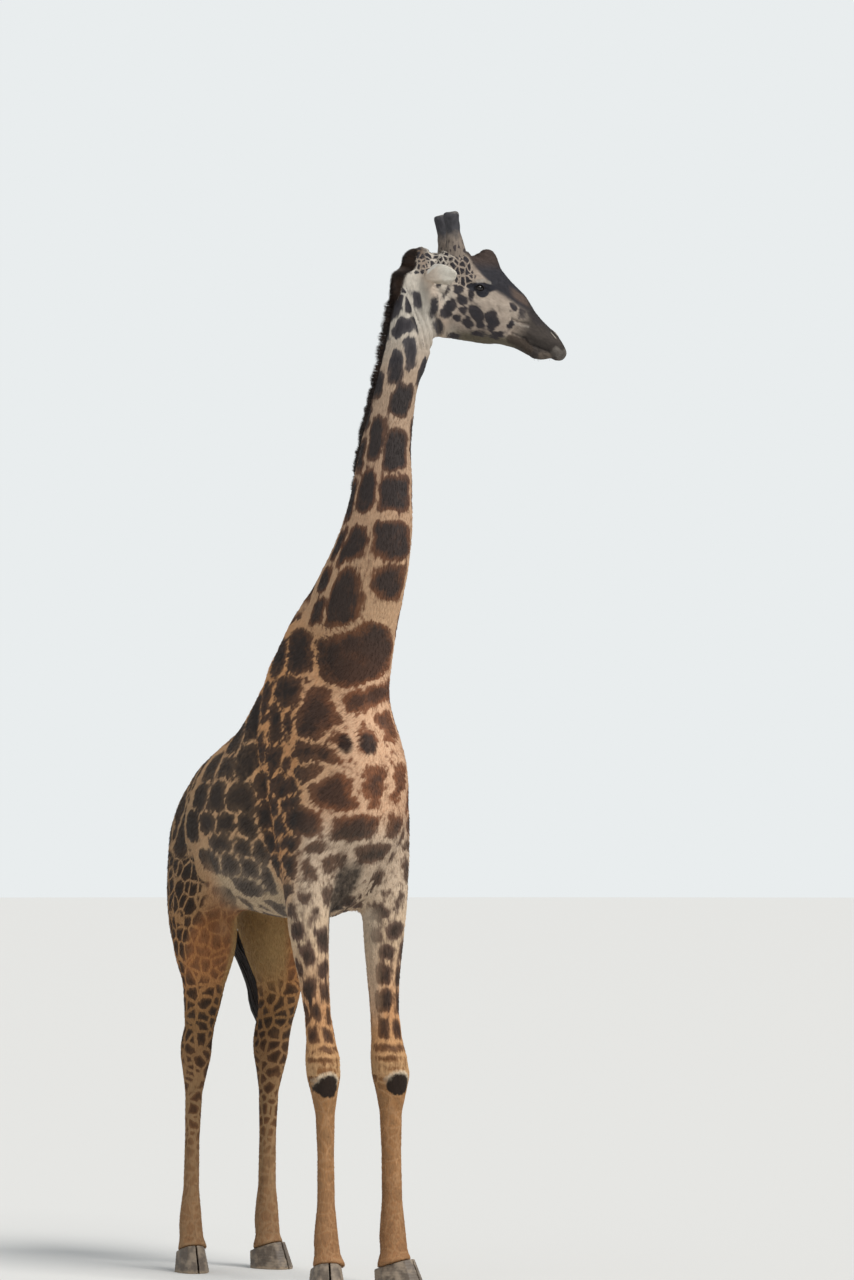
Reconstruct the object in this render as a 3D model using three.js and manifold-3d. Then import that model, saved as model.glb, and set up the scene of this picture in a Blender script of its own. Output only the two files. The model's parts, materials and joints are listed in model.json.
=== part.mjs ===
// A bull giraffe, life size, standing at rest with its head turned to its left.
// Millimetres. +X is the way the body faces, +Y its left side, +Z up, and the hooves stand on z = 0.
// The flesh is lofted as one whole from oval sections, then parted with thin flat cuts into head, neck,
// trunk and four legs. Eyes, ossicones, ears, hooves, tail, tassel and mane are pieces of their own.
import * as THREE from "three";
import { mergeVertices } from "three/addons/utils/BufferGeometryUtils.js";
import Module from "manifold-3d";

const wasm = await Module();
wasm.setup();

// ---------------------------------------------------------------- driving dimensions
const GAP = 0.3; // clearance between pieces that touch
const POLL_HEIGHT = 4770; // the head's own origin, between the ears
const POLL_AT = [892, 175]; // its place over the ground, forward and to the left
const HEAD_TURN = 74; // degrees the head is turned to the left of the body
const LEG_CUT_HEIGHT = 1690; // the legs are parted from the trunk just below the belly
const TOE_OUT = { front: 23, hind: 14 }; // degrees each foot turns outwards
const FOOT = { front: [636, 181], hind: [-606, 212] }; // fetlock over the ground: forward, outward
const EYE_RADIUS = 26;
const EYE_AT = [247, 113, -127]; // from the poll: forward, outward, up
const HORN_TOP = 230; // ossicone tip above the poll
const NECK_CUT = { at: [430, 0, 3020], facing: [0.35, 0, 1] }; // parts the neck from the trunk
const HEAD_CUT = { at: [-30, 0, 40], facing: [1, 0, 0.34] }; // parts the head, in the head's own frame

// ---------------------------------------------------------------- lofting tools
const radians = THREE.MathUtils.degToRad;
const vector = (x, y, z) => new THREE.Vector3(x, y, z);

// Rows of measures, smoothly interpolated down each column into count rows.
function smoothRows(rows, count) {
  const places = rows.map((_, i) => i);
  const curve = new THREE.CubicInterpolant(places, rows.flat(), rows[0].length);
  const last = rows.length - 1;
  return Array.from({ length: count }, (_, i) => [...curve.evaluate((last * i) / (count - 1))]);
}

// A closed oval ring. It has its own reach towards +rise and -rise, and the same to both sides;
// a peak above 1 narrows it towards that end, and one below 1 makes it fuller.
function oval(centre, side, rise, { half, up, down, upPeak = 1, downPeak = 1 }, points) {
  return Array.from({ length: points }, (_, i) => {
    const angle = (2 * Math.PI * i) / points;
    const [s, c] = [Math.sin(angle), Math.cos(angle)];
    const out = Math.sign(s) * Math.abs(s) ** (c > 0 ? upPeak : downPeak) * half;
    return centre.clone().addScaledVector(side, out).addScaledVector(rise, c * (c > 0 ? up : down));
  });
}

// A closed mesh turned into a solid, its shared corners merged, facing outwards.
function solidOf(geometry) {
  for (const name of ["normal", "uv"]) geometry.deleteAttribute(name);
  const merged = mergeVertices(geometry, 1e-3);
  const corners = new Uint32Array(merged.index.array);
  const made = (triVerts) =>
    new wasm.Manifold(
      new wasm.Mesh({ numProp: 3, vertProperties: merged.attributes.position.array, triVerts }),
    );
  const solid = made(corners);
  return solid.volume() > 0 ? solid : made(corners.reverse());
}

// A skin over a row of rings. Each end is closed with a ladder of faces from one half of its ring
// to the other.
function loft(rings) {
  const points = rings[0].length;
  const end = (rings.length - 1) * points;
  const faces = [];
  for (let r = 0; r < end; r += points) {
    for (let i = 0; i < points; i++) {
      const j = (i + 1) % points;
      faces.push(r + i, r + j, r + points + j, r + i, r + points + j, r + points + i);
    }
  }
  for (let i = 0; i < points / 2 - 1; i++) {
    const [a, b, c, d] = [i, i + 1, points - 2 - i, points - 1 - i];
    faces.push(b, a, d, b, d, c, end + a, end + b, end + c, end + a, end + c, end + d);
  }
  return solidOf(new THREE.BufferGeometry().setFromPoints(rings.flat()).setIndex(faces));
}

// A rounded form: an ellipsoid with its half sizes, tipped nose down by pitch degrees about the side
// axis and turned to the left by turn. Side -1 mirrors it.
function lump({ at: [x, y, z], reach, pitch = 0, turn = 0, rings = 5 }, side = 1) {
  const ball = new THREE.SphereGeometry(1, 2 * rings, rings).rotateX(Math.PI / 2);
  ball.scale(...reach).rotateY(radians(pitch)).rotateZ(radians(side * turn));
  return solidOf(ball.translate(x, side * y, z));
}

const join = (solids) => solids.reduce((whole, one) => whole.add(one));

// The two sides of a flat cut through a point, each held back by half the gap.
function part(solid, point, normal) {
  const n = vector(...normal).normalize();
  const at = n.dot(vector(...point));
  return [
    solid.trimByPlane(n.toArray(), at + GAP / 2),
    solid.trimByPlane(n.clone().negate().toArray(), -at + GAP / 2),
  ];
}

// ---------------------------------------------------------------- trunk
// x, top, underside, half width, and how narrow the back and the belly are.
const TRUNK = [
  [-895, 2265, 2080, 60, 1, 1],
  [-865, 2345, 1985, 138, 1.05, 1],
  [-785, 2420, 1880, 208, 1.1, 1],
  [-650, 2492, 1810, 258, 1.15, 1],
  [-460, 2592, 1765, 322, 1.25, 0.95],
  [-250, 2680, 1722, 362, 1.35, 0.92],
  [-60, 2845, 1703, 368, 1.5, 0.92],
  [120, 3090, 1700, 345, 1.5, 0.95],
  [270, 3290, 1702, 308, 1.12, 1],
  [420, 3265, 1712, 276, 1.1, 1.1],
  [590, 3020, 1775, 250, 1.35, 1.15],
  [700, 2820, 1890, 222, 1.35, 1.15],
  [790, 2670, 2020, 180, 1.05, 1.1],
  [840, 2540, 2150, 110, 1, 1],
  [864, 2430, 2280, 34, 1, 1],
];

const HIP = { at: [-475, 158, 2350], reach: [175, 100, 92], pitch: 24 };
const WIDEST = 0.44; // how far up a section the trunk is widest

function trunk() {
  const side = vector(0, 1, 0);
  const up = vector(0, 0, 1);
  const rings = smoothRows(TRUNK, 21).map(([x, top, under, half, upPeak, downPeak]) => {
    const widest = under + WIDEST * (top - under);
    const size = { half, up: top - widest, down: widest - under, upPeak, downPeak };
    return oval(vector(x, 0, widest), side, up, size, 18);
  });
  return join([loft(rings), lump(HIP, 1), lump(HIP, -1)]);
}

// ---------------------------------------------------------------- neck
// x, y, height, turn to the left in degrees, reach forwards and backwards, half width, and how
// narrow the nape is.
const NECK = [
  [430, 0, 2400, 0, 378, 330, 202, 1],
  [452, 0, 2600, 0, 342, 360, 174, 0.95],
  [470, 0, 2800, 0, 330, 375, 184, 0.9],
  [520, 0, 3000, 0, 318, 385, 184, 0.9],
  [620, 0, 3200, 4, 288, 372, 166, 1],
  [708, 8, 3385, 9, 255, 284, 142, 1.1],
  [765, 16, 3570, 16, 202, 204, 121, 1.2],
  [792, 24, 3754, 25, 162, 162, 108, 1.2],
  [805, 33, 3940, 34, 136, 132, 100, 1.2],
  [835, 52, 4126, 44, 122, 116, 95, 1.2],
  [862, 85, 4300, 54, 124, 113, 93, 1.2],
  [873, 110, 4450, 62, 142, 114, 94, 1.2],
  [877, 125, 4600, 68, 96, 98, 88, 1.2],
  [882, 138, 4725, 72, 55, 82, 74, 1.2],
];

// Each section's centre, its own ways ahead and left, and its reach.
const neckRings = smoothRows(NECK, 21).map(([x, y, z, turn, front, back, half, nape]) => {
  const ahead = vector(Math.cos(radians(turn)), Math.sin(radians(turn)), 0);
  const left = vector(-ahead.y, ahead.x, 0);
  return { centre: vector(x, y, z), ahead, left, front, back, half, nape };
});

function neck() {
  const rings = neckRings.map(({ centre, ahead, left, front, back, half, nape }) =>
    oval(centre, left, ahead, { half, up: front, down: back, upPeak: 1.08, downPeak: nape }, 16),
  );
  return loft(rings);
}

// A thin crest of short hair down the back of the neck: where it starts, how far it stands out,
// how deep it is rooted, and its half thickness.
const MANE = { from: 3280, stand: 34, root: 26, half: 13 };

function mane(grow = 0) {
  const rows = neckRings.filter(({ centre }) => centre.z > MANE.from);
  const rings = rows.map(({ centre, ahead, left, back }, i) => {
    const along = i / (rows.length - 1);
    const stand = MANE.stand * Math.min(0.5 + 0.5 * along, 6 * along, 6 * (1 - along));
    const root = centre.clone().addScaledVector(ahead, MANE.root - back);
    if (i === 0) root.z -= grow;
    if (along === 1) root.z += grow;
    const size = { half: MANE.half + grow, up: 4 + grow, down: MANE.root + stand + grow, downPeak: 0.8 };
    return oval(root, left, ahead, size, 6);
  });
  return loft(rings);
}

// ---------------------------------------------------------------- head, from the poll: forward, outward, up
const headFrame = new THREE.Matrix4()
  .makeTranslation(POLL_AT[0], POLL_AT[1], POLL_HEIGHT)
  .multiply(new THREE.Matrix4().makeRotationZ(radians(HEAD_TURN)));
const toHead = (solid) => solid.transform(headFrame.toArray());

// Each section stands between a point of the upper profile and one of the lower:
// forward and up of the first, the same of the second, half width, and how narrow top and bottom are.
const SKULL = [
  [-78, -35, -25, -280, 72, 1, 1.1],
  [-20, 42, 30, -345, 98, 1, 1.2],
  [90, 45, 112, -354, 115, 0.9, 1.3],
  [190, 42, 200, -364, 126, 0.85, 1.45],
  [285, 32, 290, -377, 134, 0.85, 1.55],
  [372, -10, 376, -378, 117, 0.95, 1.45],
  [440, -86, 436, -348, 94, 1.05, 1.15],
  [492, -129, 488, -364, 79, 1.05, 1],
  [527, -178, 524, -386, 70, 1.05, 0.9],
  [560, -229, 556, -402, 63, 1, 0.85],
  [612, -281, 600, -420, 61, 0.95, 0.85],
  [657, -323, 634, -438, 60, 0.95, 0.85],
  [690, -370, 668, -448, 52, 0.95, 0.9],
  [705, -402, 692, -438, 30, 1, 1],
];
const JAW = [
  [330, -270, 330, -366, 62, 1, 1],
  [400, -292, 402, -380, 64, 1, 0.95],
  [450, -318, 462, -394, 58, 1, 0.9],
  [505, -352, 512, -418, 51, 1, 0.85],
  [550, -384, 550, -440, 49, 1, 0.85],
  [590, -398, 586, -444, 46, 1, 0.85],
  [622, -412, 616, -440, 37, 1, 0.9],
  [636, -420, 632, -434, 20, 1, 1],
];

function headLoft(rows, count, points) {
  const rings = smoothRows(rows, count).map(([f1, z1, f2, z2, half, upPeak, downPeak]) => {
    const top = vector(f1, 0, z1);
    const bottom = vector(f2, 0, z2);
    const rise = top.clone().sub(bottom).divideScalar(2);
    const centre = bottom.clone().add(rise);
    const reach = rise.length();
    const size = { half, up: reach, down: reach, upPeak, downPeak };
    return oval(centre, vector(0, 1, 0), rise.normalize(), size, points);
  });
  return loft(rings);
}

function eye(s, grow = 0) {
  const radius = EYE_RADIUS + grow;
  return lump({ at: EYE_AT, reach: [radius, radius, radius], rings: 6 }, s);
}

// The lids are a thicker ball over the eye. A wedge opens it: its section is a point behind the
// pupil and the edges of the lower and the upper lid, each as outward and up, and it is as long as
// depth from corner to corner, tipped nose down.
const LIDS = { thickness: 7, section: [[-10, 0], [44, -17], [44, 12]], depth: 100, pitch: 8 };

function lidOpening(s) {
  const section = new THREE.Shape(LIDS.section.map((point) => new THREE.Vector2(...point)));
  const wedge = new THREE.ExtrudeGeometry(section, { depth: LIDS.depth, bevelEnabled: false, steps: 1 });
  wedge.translate(0, 0, -LIDS.depth / 2).rotateX(Math.PI / 2).rotateZ(Math.PI / 2).scale(1, s, 1);
  wedge.rotateY(radians(LIDS.pitch)).translate(EYE_AT[0], s * EYE_AT[1], EYE_AT[2]);
  return solidOf(wedge);
}

// An ossicone leans back and spreads outwards a little. Its rows: how far up it, and its radius.
const HORN_LINE = { base: [158, 60, -10], tip: [121, 82, HORN_TOP], flatness: 0.92 };
const HORN = [
  [0, 56],
  [0.3, 50],
  [0.45, 41],
  [0.62, 36],
  [0.8, 37],
  [0.92, 40],
  [0.98, 36],
  [1, 24],
];

function horn(s, grow = 0) {
  const [base, tip] = [HORN_LINE.base, HORN_LINE.tip].map(([x, y, z]) => vector(x, s * y, z));
  const up = tip.clone().sub(base).normalize();
  base.addScaledVector(up, -grow);
  const axis = tip.addScaledVector(up, grow).sub(base);
  const ahead = vector(1, 0, 0).addScaledVector(up, -up.x).normalize();
  const left = up.clone().cross(ahead);
  const rings = smoothRows(HORN, 8).map(([share, radius]) => {
    const size = { half: HORN_LINE.flatness * radius + grow, up: radius + grow, down: radius + grow };
    return oval(base.clone().addScaledVector(axis, share), left, ahead, size, 10);
  });
  return loft(rings);
}

// An ear is a cupped leaf, thinner at its rim. It is rolled over and swung outwards in degrees.
// Its rows: how far along it, its half width there, and how deep it is cupped.
const EAR_SET = { at: [4, 92, -74], length: 205, wall: 5.5, thinning: 0.45, roll: 62, swing: 62 };
const EAR = [
  [0, 28, 22],
  [0.16, 40, 32],
  [0.36, 57, 29],
  [0.58, 60, 21],
  [0.78, 45, 12],
  [0.92, 25, 6],
  [1, 9, 2],
];

function ear(s, grow = 0) {
  const wall = EAR_SET.wall + grow;
  const rings = smoothRows(EAR, 8).map(([share, half, cup]) => {
    const edge = 1 + grow / half;
    const line = Array.from({ length: 7 }, (_, i) => edge * (-1 + i / 3));
    const shell = (across, push) => {
      const depth = -cup * (1 - across ** 2) + push * (1 - EAR_SET.thinning * across ** 2);
      return vector(share * (EAR_SET.length + 2 * grow) - grow, across * half, depth);
    };
    return [...line.map((a) => shell(a, -wall)), ...line.toReversed().map((a) => shell(a, wall))];
  });
  const [x, y, z] = EAR_SET.at;
  const place = new THREE.Matrix4().makeTranslation(x, s * y, z);
  place.multiply(new THREE.Matrix4().makeRotationZ(s * radians(EAR_SET.swing)));
  place.multiply(new THREE.Matrix4().makeRotationX(s * radians(EAR_SET.roll)));
  return loft(rings.map((ring) => ring.map((p) => p.applyMatrix4(place))));
}

// Rounded forms that build up the head.
const MIDDLE_FORMS = {
  poll: { at: [-2, 0, -22], reach: [68, 84, 98] },
  forehead: { at: [302, 0, -42], reach: [90, 74, 100], pitch: 12 },
  frontalKnob: { at: [320, 0, 4], reach: [54, 46, 68], rings: 6 },
  upperLip: { at: [672, 0, -412], reach: [36, 46, 36], pitch: 40 },
  lowerLip: { at: [586, 0, -418], reach: [44, 44, 26] },
};
const PAIRED_FORMS = {
  ossiconeRoot: { at: [150, 56, -22], reach: [108, 74, 88] },
  brow: { at: [256, 86, -94], reach: [104, 50, 42], pitch: 14, turn: -10 },
  earRoot: { at: [22, 70, -76], reach: [56, 44, 52], rings: 4 },
};
const NOSTRIL = { at: [642, 46, -312], reach: [27, 13, 8], pitch: 42, turn: -14 };

function head() {
  const forms = Object.values(MIDDLE_FORMS).map((form) => lump(form));
  for (const s of [1, -1]) {
    forms.push(...Object.values(PAIRED_FORMS).map((form) => lump(form, s)));
    forms.push(eye(s, LIDS.thickness));
  }
  let whole = join([headLoft(SKULL, 19, 16), headLoft(JAW, 8, 10), ...forms]);
  for (const s of [1, -1]) {
    whole = whole.subtract(lidOpening(s)).subtract(lump(NOSTRIL, s));
  }
  return toHead(whole);
}

// ---------------------------------------------------------------- legs, mirrored for each side
// height, forward, outward, reach forwards, reach backwards, half thickness, share of the toe-out.
const FRONT_LEG = [
  [2880, 340, 90, 110, 120, 56, 0],
  [2680, 385, 132, 190, 180, 84, 0],
  [2460, 440, 166, 236, 235, 104, 0],
  [2250, 482, 188, 238, 255, 112, 0],
  [2060, 490, 197, 190, 240, 120, 0.1],
  [1910, 500, 204, 150, 185, 118, 0.2],
  [1780, 508, 205, 124, 135, 110, 0.35],
  [1640, 514, 203, 105, 112, 97, 0.5],
  [1480, 528, 192, 88, 92, 80, 0.7],
  [1340, 546, 184, 78, 80, 67, 0.85],
  [1200, 568, 178, 76, 74, 66, 1],
  [1110, 586, 177, 92, 80, 80, 1],
  [1040, 598, 177, 102, 90, 87, 1],
  [950, 606, 178, 108, 82, 76, 1],
  [880, 614, 178, 72, 66, 57, 1],
  [770, 620, 178, 53, 57, 44, 1],
  [560, 626, 179, 49, 54, 41, 1],
  [360, 631, 180, 52, 58, 45, 1],
  [275, 633, 181, 62, 70, 56, 1],
  [215, 636, 181, 66, 72, 61, 1],
  [160, 648, 181, 66, 72, 64, 1],
  [105, 666, 181, 92, 100, 84, 1],
  [60, 672, 181, 96, 108, 88, 1],
];
const HIND_LEG = [
  [2460, -500, 90, 100, 84, 56, 0],
  [2350, -550, 118, 200, 176, 106, 0],
  [2220, -600, 134, 245, 232, 134, 0],
  [2050, -600, 156, 258, 244, 140, 0],
  [1900, -575, 174, 262, 250, 142, 0.1],
  [1770, -548, 188, 266, 248, 150, 0.3],
  [1640, -512, 196, 252, 235, 156, 0.5],
  [1510, -487, 204, 192, 186, 138, 0.7],
  [1390, -482, 210, 134, 136, 106, 0.85],
  [1280, -496, 211, 108, 124, 90, 1],
  [1190, -522, 210, 96, 124, 76, 1],
  [1110, -552, 209, 98, 116, 77, 1],
  [1040, -563, 208, 98, 100, 76, 1],
  [960, -572, 208, 80, 78, 60, 1],
  [860, -581, 209, 54, 62, 42, 1],
  [640, -594, 210, 46, 52, 36, 1],
  [400, -602, 211, 49, 54, 39, 1],
  [290, -605, 212, 60, 68, 52, 1],
  [225, -606, 212, 64, 70, 57, 1],
  [160, -595, 212, 61, 67, 60, 1],
  [105, -578, 212, 86, 93, 78, 1],
  [60, -572, 212, 90, 100, 82, 1],
];
const CORONET = { rise: 104, slope: 0.3 }; // the hoof's upper edge at the fetlock, and its fall backwards

// The ground frame of a foot: its place and the way its toes point.
function foot(which, s) {
  const [forward, outward] = FOOT[which];
  const toe = s * radians(TOE_OUT[which]);
  return { at: vector(forward, s * outward, 0), ahead: vector(Math.cos(toe), Math.sin(toe), 0) };
}

function leg(rows, which, s) {
  const rings = smoothRows(rows, 22).map(([z, x, y, front, back, half, toe]) => {
    const turn = s * radians(TOE_OUT[which] * Math.min(1, toe));
    const ahead = vector(Math.cos(turn), Math.sin(turn), 0);
    const left = vector(-ahead.y, ahead.x, 0);
    return oval(vector(x, s * y, z), left, ahead, { half, up: front, down: back }, 12);
  });
  return loft(rings);
}

// The plane of the coronet, which parts a leg from its hooves.
function coronetPlane(which, s) {
  const { at, ahead } = foot(which, s);
  const normal = ahead.clone().multiplyScalar(-CORONET.slope).add(vector(0, 0, 1));
  return [[at.x, at.y, CORONET.rise], normal.toArray()];
}

// One claw: a pointed half of the hoof, flat underneath and against the cleft. Its wall is drawn in
// towards the top, its heel leans back, and the sole's edge is rounded off a little.
const CLAW = { length: 256, width: 98, heel: -82, height: 190, cleft: 3, levels: [0, 0.06, 0.5, 1] };
const CLAW_SHAPE = { hindSize: 0.93, drawnIn: 0.34, heelLean: 0.12, bevel: 0.97, full: 0.7, toe: 0.28 };

function claw(which, s, side) {
  const { at, ahead } = foot(which, s);
  const outwards = vector(-ahead.y, ahead.x, 0).multiplyScalar(side);
  const size = which === "front" ? 1 : CLAW_SHAPE.hindSize;
  const points = 10;
  const rings = CLAW.levels.map((share) => {
    const height = share * CLAW.height;
    const draw = 1 - CLAW_SHAPE.drawnIn * share;
    const length = CLAW.length * draw * (share === 0 ? CLAW_SHAPE.bevel : 1);
    return Array.from({ length: points }, (_, i) => {
      const angle = (2 * Math.PI * i) / points;
      const along = (1 - Math.cos(angle)) / 2; // 0 at the heel, 1 at the toe
      const swell = Math.max(0, Math.sin(angle)) ** CLAW_SHAPE.full * (1 - CLAW_SHAPE.toe * along);
      const across = size * (CLAW.cleft + swell * CLAW.width * draw);
      const forward = size * (CLAW.heel + length * along - CLAW_SHAPE.heelLean * height * (1 - along));
      const foot = at.clone().addScaledVector(ahead, forward).addScaledVector(outwards, across);
      return foot.setZ(height);
    });
  });
  return part(loft(rings), ...coronetPlane(which, s))[1];
}

// ---------------------------------------------------------------- tail
// x, y, height, radius: it hangs from the croup and swings to the left.
const TAIL = [
  [-800, 0, 2345, 46],
  [-868, 4, 2325, 42],
  [-915, 22, 2240, 33],
  [-918, 80, 2080, 27],
  [-900, 160, 1880, 23],
  [-884, 235, 1700, 20],
  [-872, 290, 1560, 17],
  [-862, 330, 1450, 12],
];
const TASSEL = [
  [-878, 262, 1635, 22],
  [-872, 292, 1555, 31],
  [-862, 335, 1440, 38],
  [-850, 390, 1290, 42],
  [-838, 440, 1130, 38],
  [-828, 478, 980, 26],
  [-822, 500, 880, 10],
];

function hanging(rows, count, points, grow = 0) {
  const measured = smoothRows(rows, count);
  const line = new THREE.CatmullRomCurve3(measured.map(([x, y, z]) => vector(x, y, z)));
  const rings = measured.map(([x, y, z, radius], i) => {
    const along = line.getTangent(i / (count - 1));
    const side = vector(1, 0, 0).addScaledVector(along, -along.x).normalize();
    const size = { half: radius + grow, up: radius + grow, down: radius + grow };
    const beyond = i === 0 ? -grow : grow;
    const centre = vector(x, y, z).addScaledVector(along, beyond);
    return oval(centre, side, along.clone().cross(side), size, points);
  });
  return loft(rings);
}

// ---------------------------------------------------------------- the whole animal
const sides = { left: 1, right: -1 };
const pieces = {};

let flesh = join([
  trunk(),
  neck(),
  head(),
  ...Object.values(sides).flatMap((s) => [leg(FRONT_LEG, "front", s), leg(HIND_LEG, "hind", s)]),
]);
for (const s of Object.values(sides)) {
  for (const socket of [eye(s, GAP), horn(s, GAP), ear(s, 2 * GAP)]) {
    flesh = flesh.subtract(toHead(socket));
  }
}
flesh = flesh.subtract(mane(GAP));
flesh = flesh.subtract(hanging(TAIL, 10, 7, GAP));

const [above, legs] = part(flesh, [0, 0, LEG_CUT_HEIGHT], [0, 0, 1]);
const [upper, trunkPiece] = part(above, NECK_CUT.at, NECK_CUT.facing);
const cutAt = vector(...HEAD_CUT.at).applyMatrix4(headFrame).toArray();
const cutFacing = vector(...HEAD_CUT.facing).transformDirection(headFrame).toArray();
const [headPiece, neckPiece] = part(upper, cutAt, cutFacing);
pieces.head = headPiece;
pieces.neck = neckPiece;
pieces.trunk = trunkPiece;

for (const limb of legs.decompose()) {
  const { min, max } = limb.boundingBox();
  const which = min[0] + max[0] > 0 ? "front" : "hind";
  const side = min[1] + max[1] > 0 ? "left" : "right";
  pieces[`leg_${which}_${side}`] = part(limb, ...coronetPlane(which, sides[side]))[0];
}
for (const [side, s] of Object.entries(sides)) {
  pieces[`eye_${side}`] = toHead(eye(s));
  pieces[`ossicone_${side}`] = toHead(horn(s));
  pieces[`ear_${side}`] = toHead(ear(s));
  for (const which of ["front", "hind"]) {
    pieces[`hoof_${which}_${side}_inner`] = claw(which, s, -s);
    pieces[`hoof_${which}_${side}_outer`] = claw(which, s, s);
  }
}
pieces.mane = mane();
pieces.tail_tassel = hanging(TASSEL, 8, 7);
pieces.tail = hanging(TAIL, 10, 7).subtract(hanging(TASSEL, 8, 7, GAP));

// ---------------------------------------------------------------- materials and the scene graph
const FINISHES = {
  coat: { color: 0x6b4a36, roughness: 0.85 },
  pale_coat: { color: 0xcdbfa6, roughness: 0.85 },
  eye: { color: 0x120d0a, roughness: 0.15 },
  hoof: { color: 0x2e2924, roughness: 0.6 },
  hair: { color: 0x1d1612, roughness: 0.8 },
};
const finishOf = (name) => {
  if (name.startsWith("eye")) return FINISHES.eye;
  if (name.startsWith("hoof")) return FINISHES.hoof;
  if (name.startsWith("ear")) return FINISHES.pale_coat;
  return name === "mane" || name === "tail_tassel" ? FINISHES.hair : FINISHES.coat;
};

// A solid as a three.js geometry.
function geometryOf(solid) {
  const { vertProperties, triVerts, numProp } = solid.getMesh();
  const geometry = new THREE.BufferGeometry();
  geometry.setAttribute("position", new THREE.BufferAttribute(vertProperties, numProp));
  geometry.setIndex(new THREE.BufferAttribute(triVerts, 1));
  geometry.computeVertexNormals();
  return geometry;
}

const giraffe = new THREE.Group();
for (const [name, solid] of Object.entries(pieces)) {
  const material = new THREE.MeshStandardMaterial({ ...finishOf(name), metalness: 0 });
  const mesh = new THREE.Mesh(geometryOf(solid), material);
  mesh.name = name;
  giraffe.add(mesh);
}

// The origin is on the floor, under the middle of the animal's box.
const box = new THREE.Box3().setFromObject(giraffe);
const middle = box.getCenter(vector(0, 0, 0));
giraffe.position.set(-middle.x, -middle.y, -box.min.z);

export default giraffe;
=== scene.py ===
# %% [markdown]
# # A bull giraffe, life size
# The finished model is one skin with a short coat, and separate eyes, horns, hooves, mane and tail hair.
# The solids of the frame give every place and size. This first cell clears the scene and loads the frame.

# %% Load the frame
import json
import math

import bmesh
import bpy
import numpy as np
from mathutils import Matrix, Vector
from mathutils.bvhtree import BVHTree

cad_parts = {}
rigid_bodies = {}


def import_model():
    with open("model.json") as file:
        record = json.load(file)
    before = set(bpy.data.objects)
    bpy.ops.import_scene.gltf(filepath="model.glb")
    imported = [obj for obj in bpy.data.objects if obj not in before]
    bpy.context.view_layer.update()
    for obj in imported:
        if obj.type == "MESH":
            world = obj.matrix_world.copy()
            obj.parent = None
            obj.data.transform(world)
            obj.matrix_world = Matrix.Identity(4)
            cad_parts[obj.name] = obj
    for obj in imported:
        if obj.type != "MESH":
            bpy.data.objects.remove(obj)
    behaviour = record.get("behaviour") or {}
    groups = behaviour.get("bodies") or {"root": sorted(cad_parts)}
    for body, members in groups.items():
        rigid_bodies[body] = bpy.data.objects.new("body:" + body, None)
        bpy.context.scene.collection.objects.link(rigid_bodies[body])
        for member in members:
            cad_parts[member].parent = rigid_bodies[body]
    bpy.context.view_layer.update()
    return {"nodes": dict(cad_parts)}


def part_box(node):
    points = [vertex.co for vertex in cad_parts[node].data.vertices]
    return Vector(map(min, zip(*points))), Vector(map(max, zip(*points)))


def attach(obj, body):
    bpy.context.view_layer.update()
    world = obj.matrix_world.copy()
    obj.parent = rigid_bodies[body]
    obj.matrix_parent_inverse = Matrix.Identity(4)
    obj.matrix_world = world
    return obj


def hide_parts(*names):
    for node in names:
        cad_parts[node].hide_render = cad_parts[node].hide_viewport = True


for default in list(bpy.data.objects):
    bpy.data.objects.remove(default)
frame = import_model()
nodes = frame["nodes"]

# %% [markdown]
# ## Camera, floor and light
# The camera stands 26 m away at a standing person's raised eye height and looks through a long lens, so
# the giraffe fills a tall frame with little perspective. The floor is a plain pale disc. The light is a
# pale sky all round, as on a bright hazy day, and one broad soft lamp high on the camera's right.

# %% Camera
CAMERA_AT = Vector((22.403, -13.246, 2.2))
LOOKS_AT = Vector((0.2046, 0.3107, 3.033))
LENS = 153.56  # mm, on a sensor 36 mm along its longer side


def new_object(name, data):
    """An object for a mesh, a camera or a lamp, in the scene."""
    thing = bpy.data.objects.new(name, data)
    bpy.context.scene.collection.objects.link(thing)
    return thing


camera = new_object("camera", bpy.data.cameras.new("camera"))
camera.data.lens = LENS
camera.data.clip_end = 300
camera.location = CAMERA_AT
camera.rotation_euler = (LOOKS_AT - CAMERA_AT).to_track_quat("-Z", "Y").to_euler()
bpy.context.scene.camera = camera
bpy.context.scene.view_settings.view_transform = "Standard"
print("camera distance", round((LOOKS_AT - CAMERA_AT).length, 2), "m")

# %% Colours
def linear(code):
    """A colour written as six hexadecimal digits, as linear red, green and blue."""
    shares = [int(code[i : i + 2], 16) / 255 for i in (0, 2, 4)]
    return tuple(c / 12.92 if c <= 0.04045 else ((c + 0.055) / 1.055) ** 2.4 for c in shares)


def opaque(code):
    """The same with a fourth value of one, as a colour socket takes it."""
    return (*linear(code), 1)


# %% Helpers for nodes
def add_node(tree, kind, inputs=None, **settings):
    """A node with its settings and inputs. An input's value may be a number, a colour or a socket."""
    node = tree.nodes.new(kind)
    for key, value in settings.items():
        setattr(node, key, value)
    for key, value in (inputs or {}).items():
        socket = node.inputs[key]
        if isinstance(value, bpy.types.NodeSocket):
            tree.links.new(value, socket)
        else:
            socket.default_value = value
    return node


def made(tree, kind, inputs=None, **settings):
    """The first output of a new node."""
    return add_node(tree, kind, inputs, **settings).outputs[0]


def number(tree, operation, *values, clamp=False):
    """A math node's output."""
    return made(tree, "ShaderNodeMath", dict(enumerate(values)), operation=operation, use_clamp=clamp)


def ramp(tree, value, low, high):
    """0 below low, 1 above high, and a smooth rise between."""
    span = {"Value": value, "From Min": low, "From Max": high}
    node = add_node(tree, "ShaderNodeMapRange", span, interpolation_type="SMOOTHSTEP")
    return node.outputs["Result"]


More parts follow.
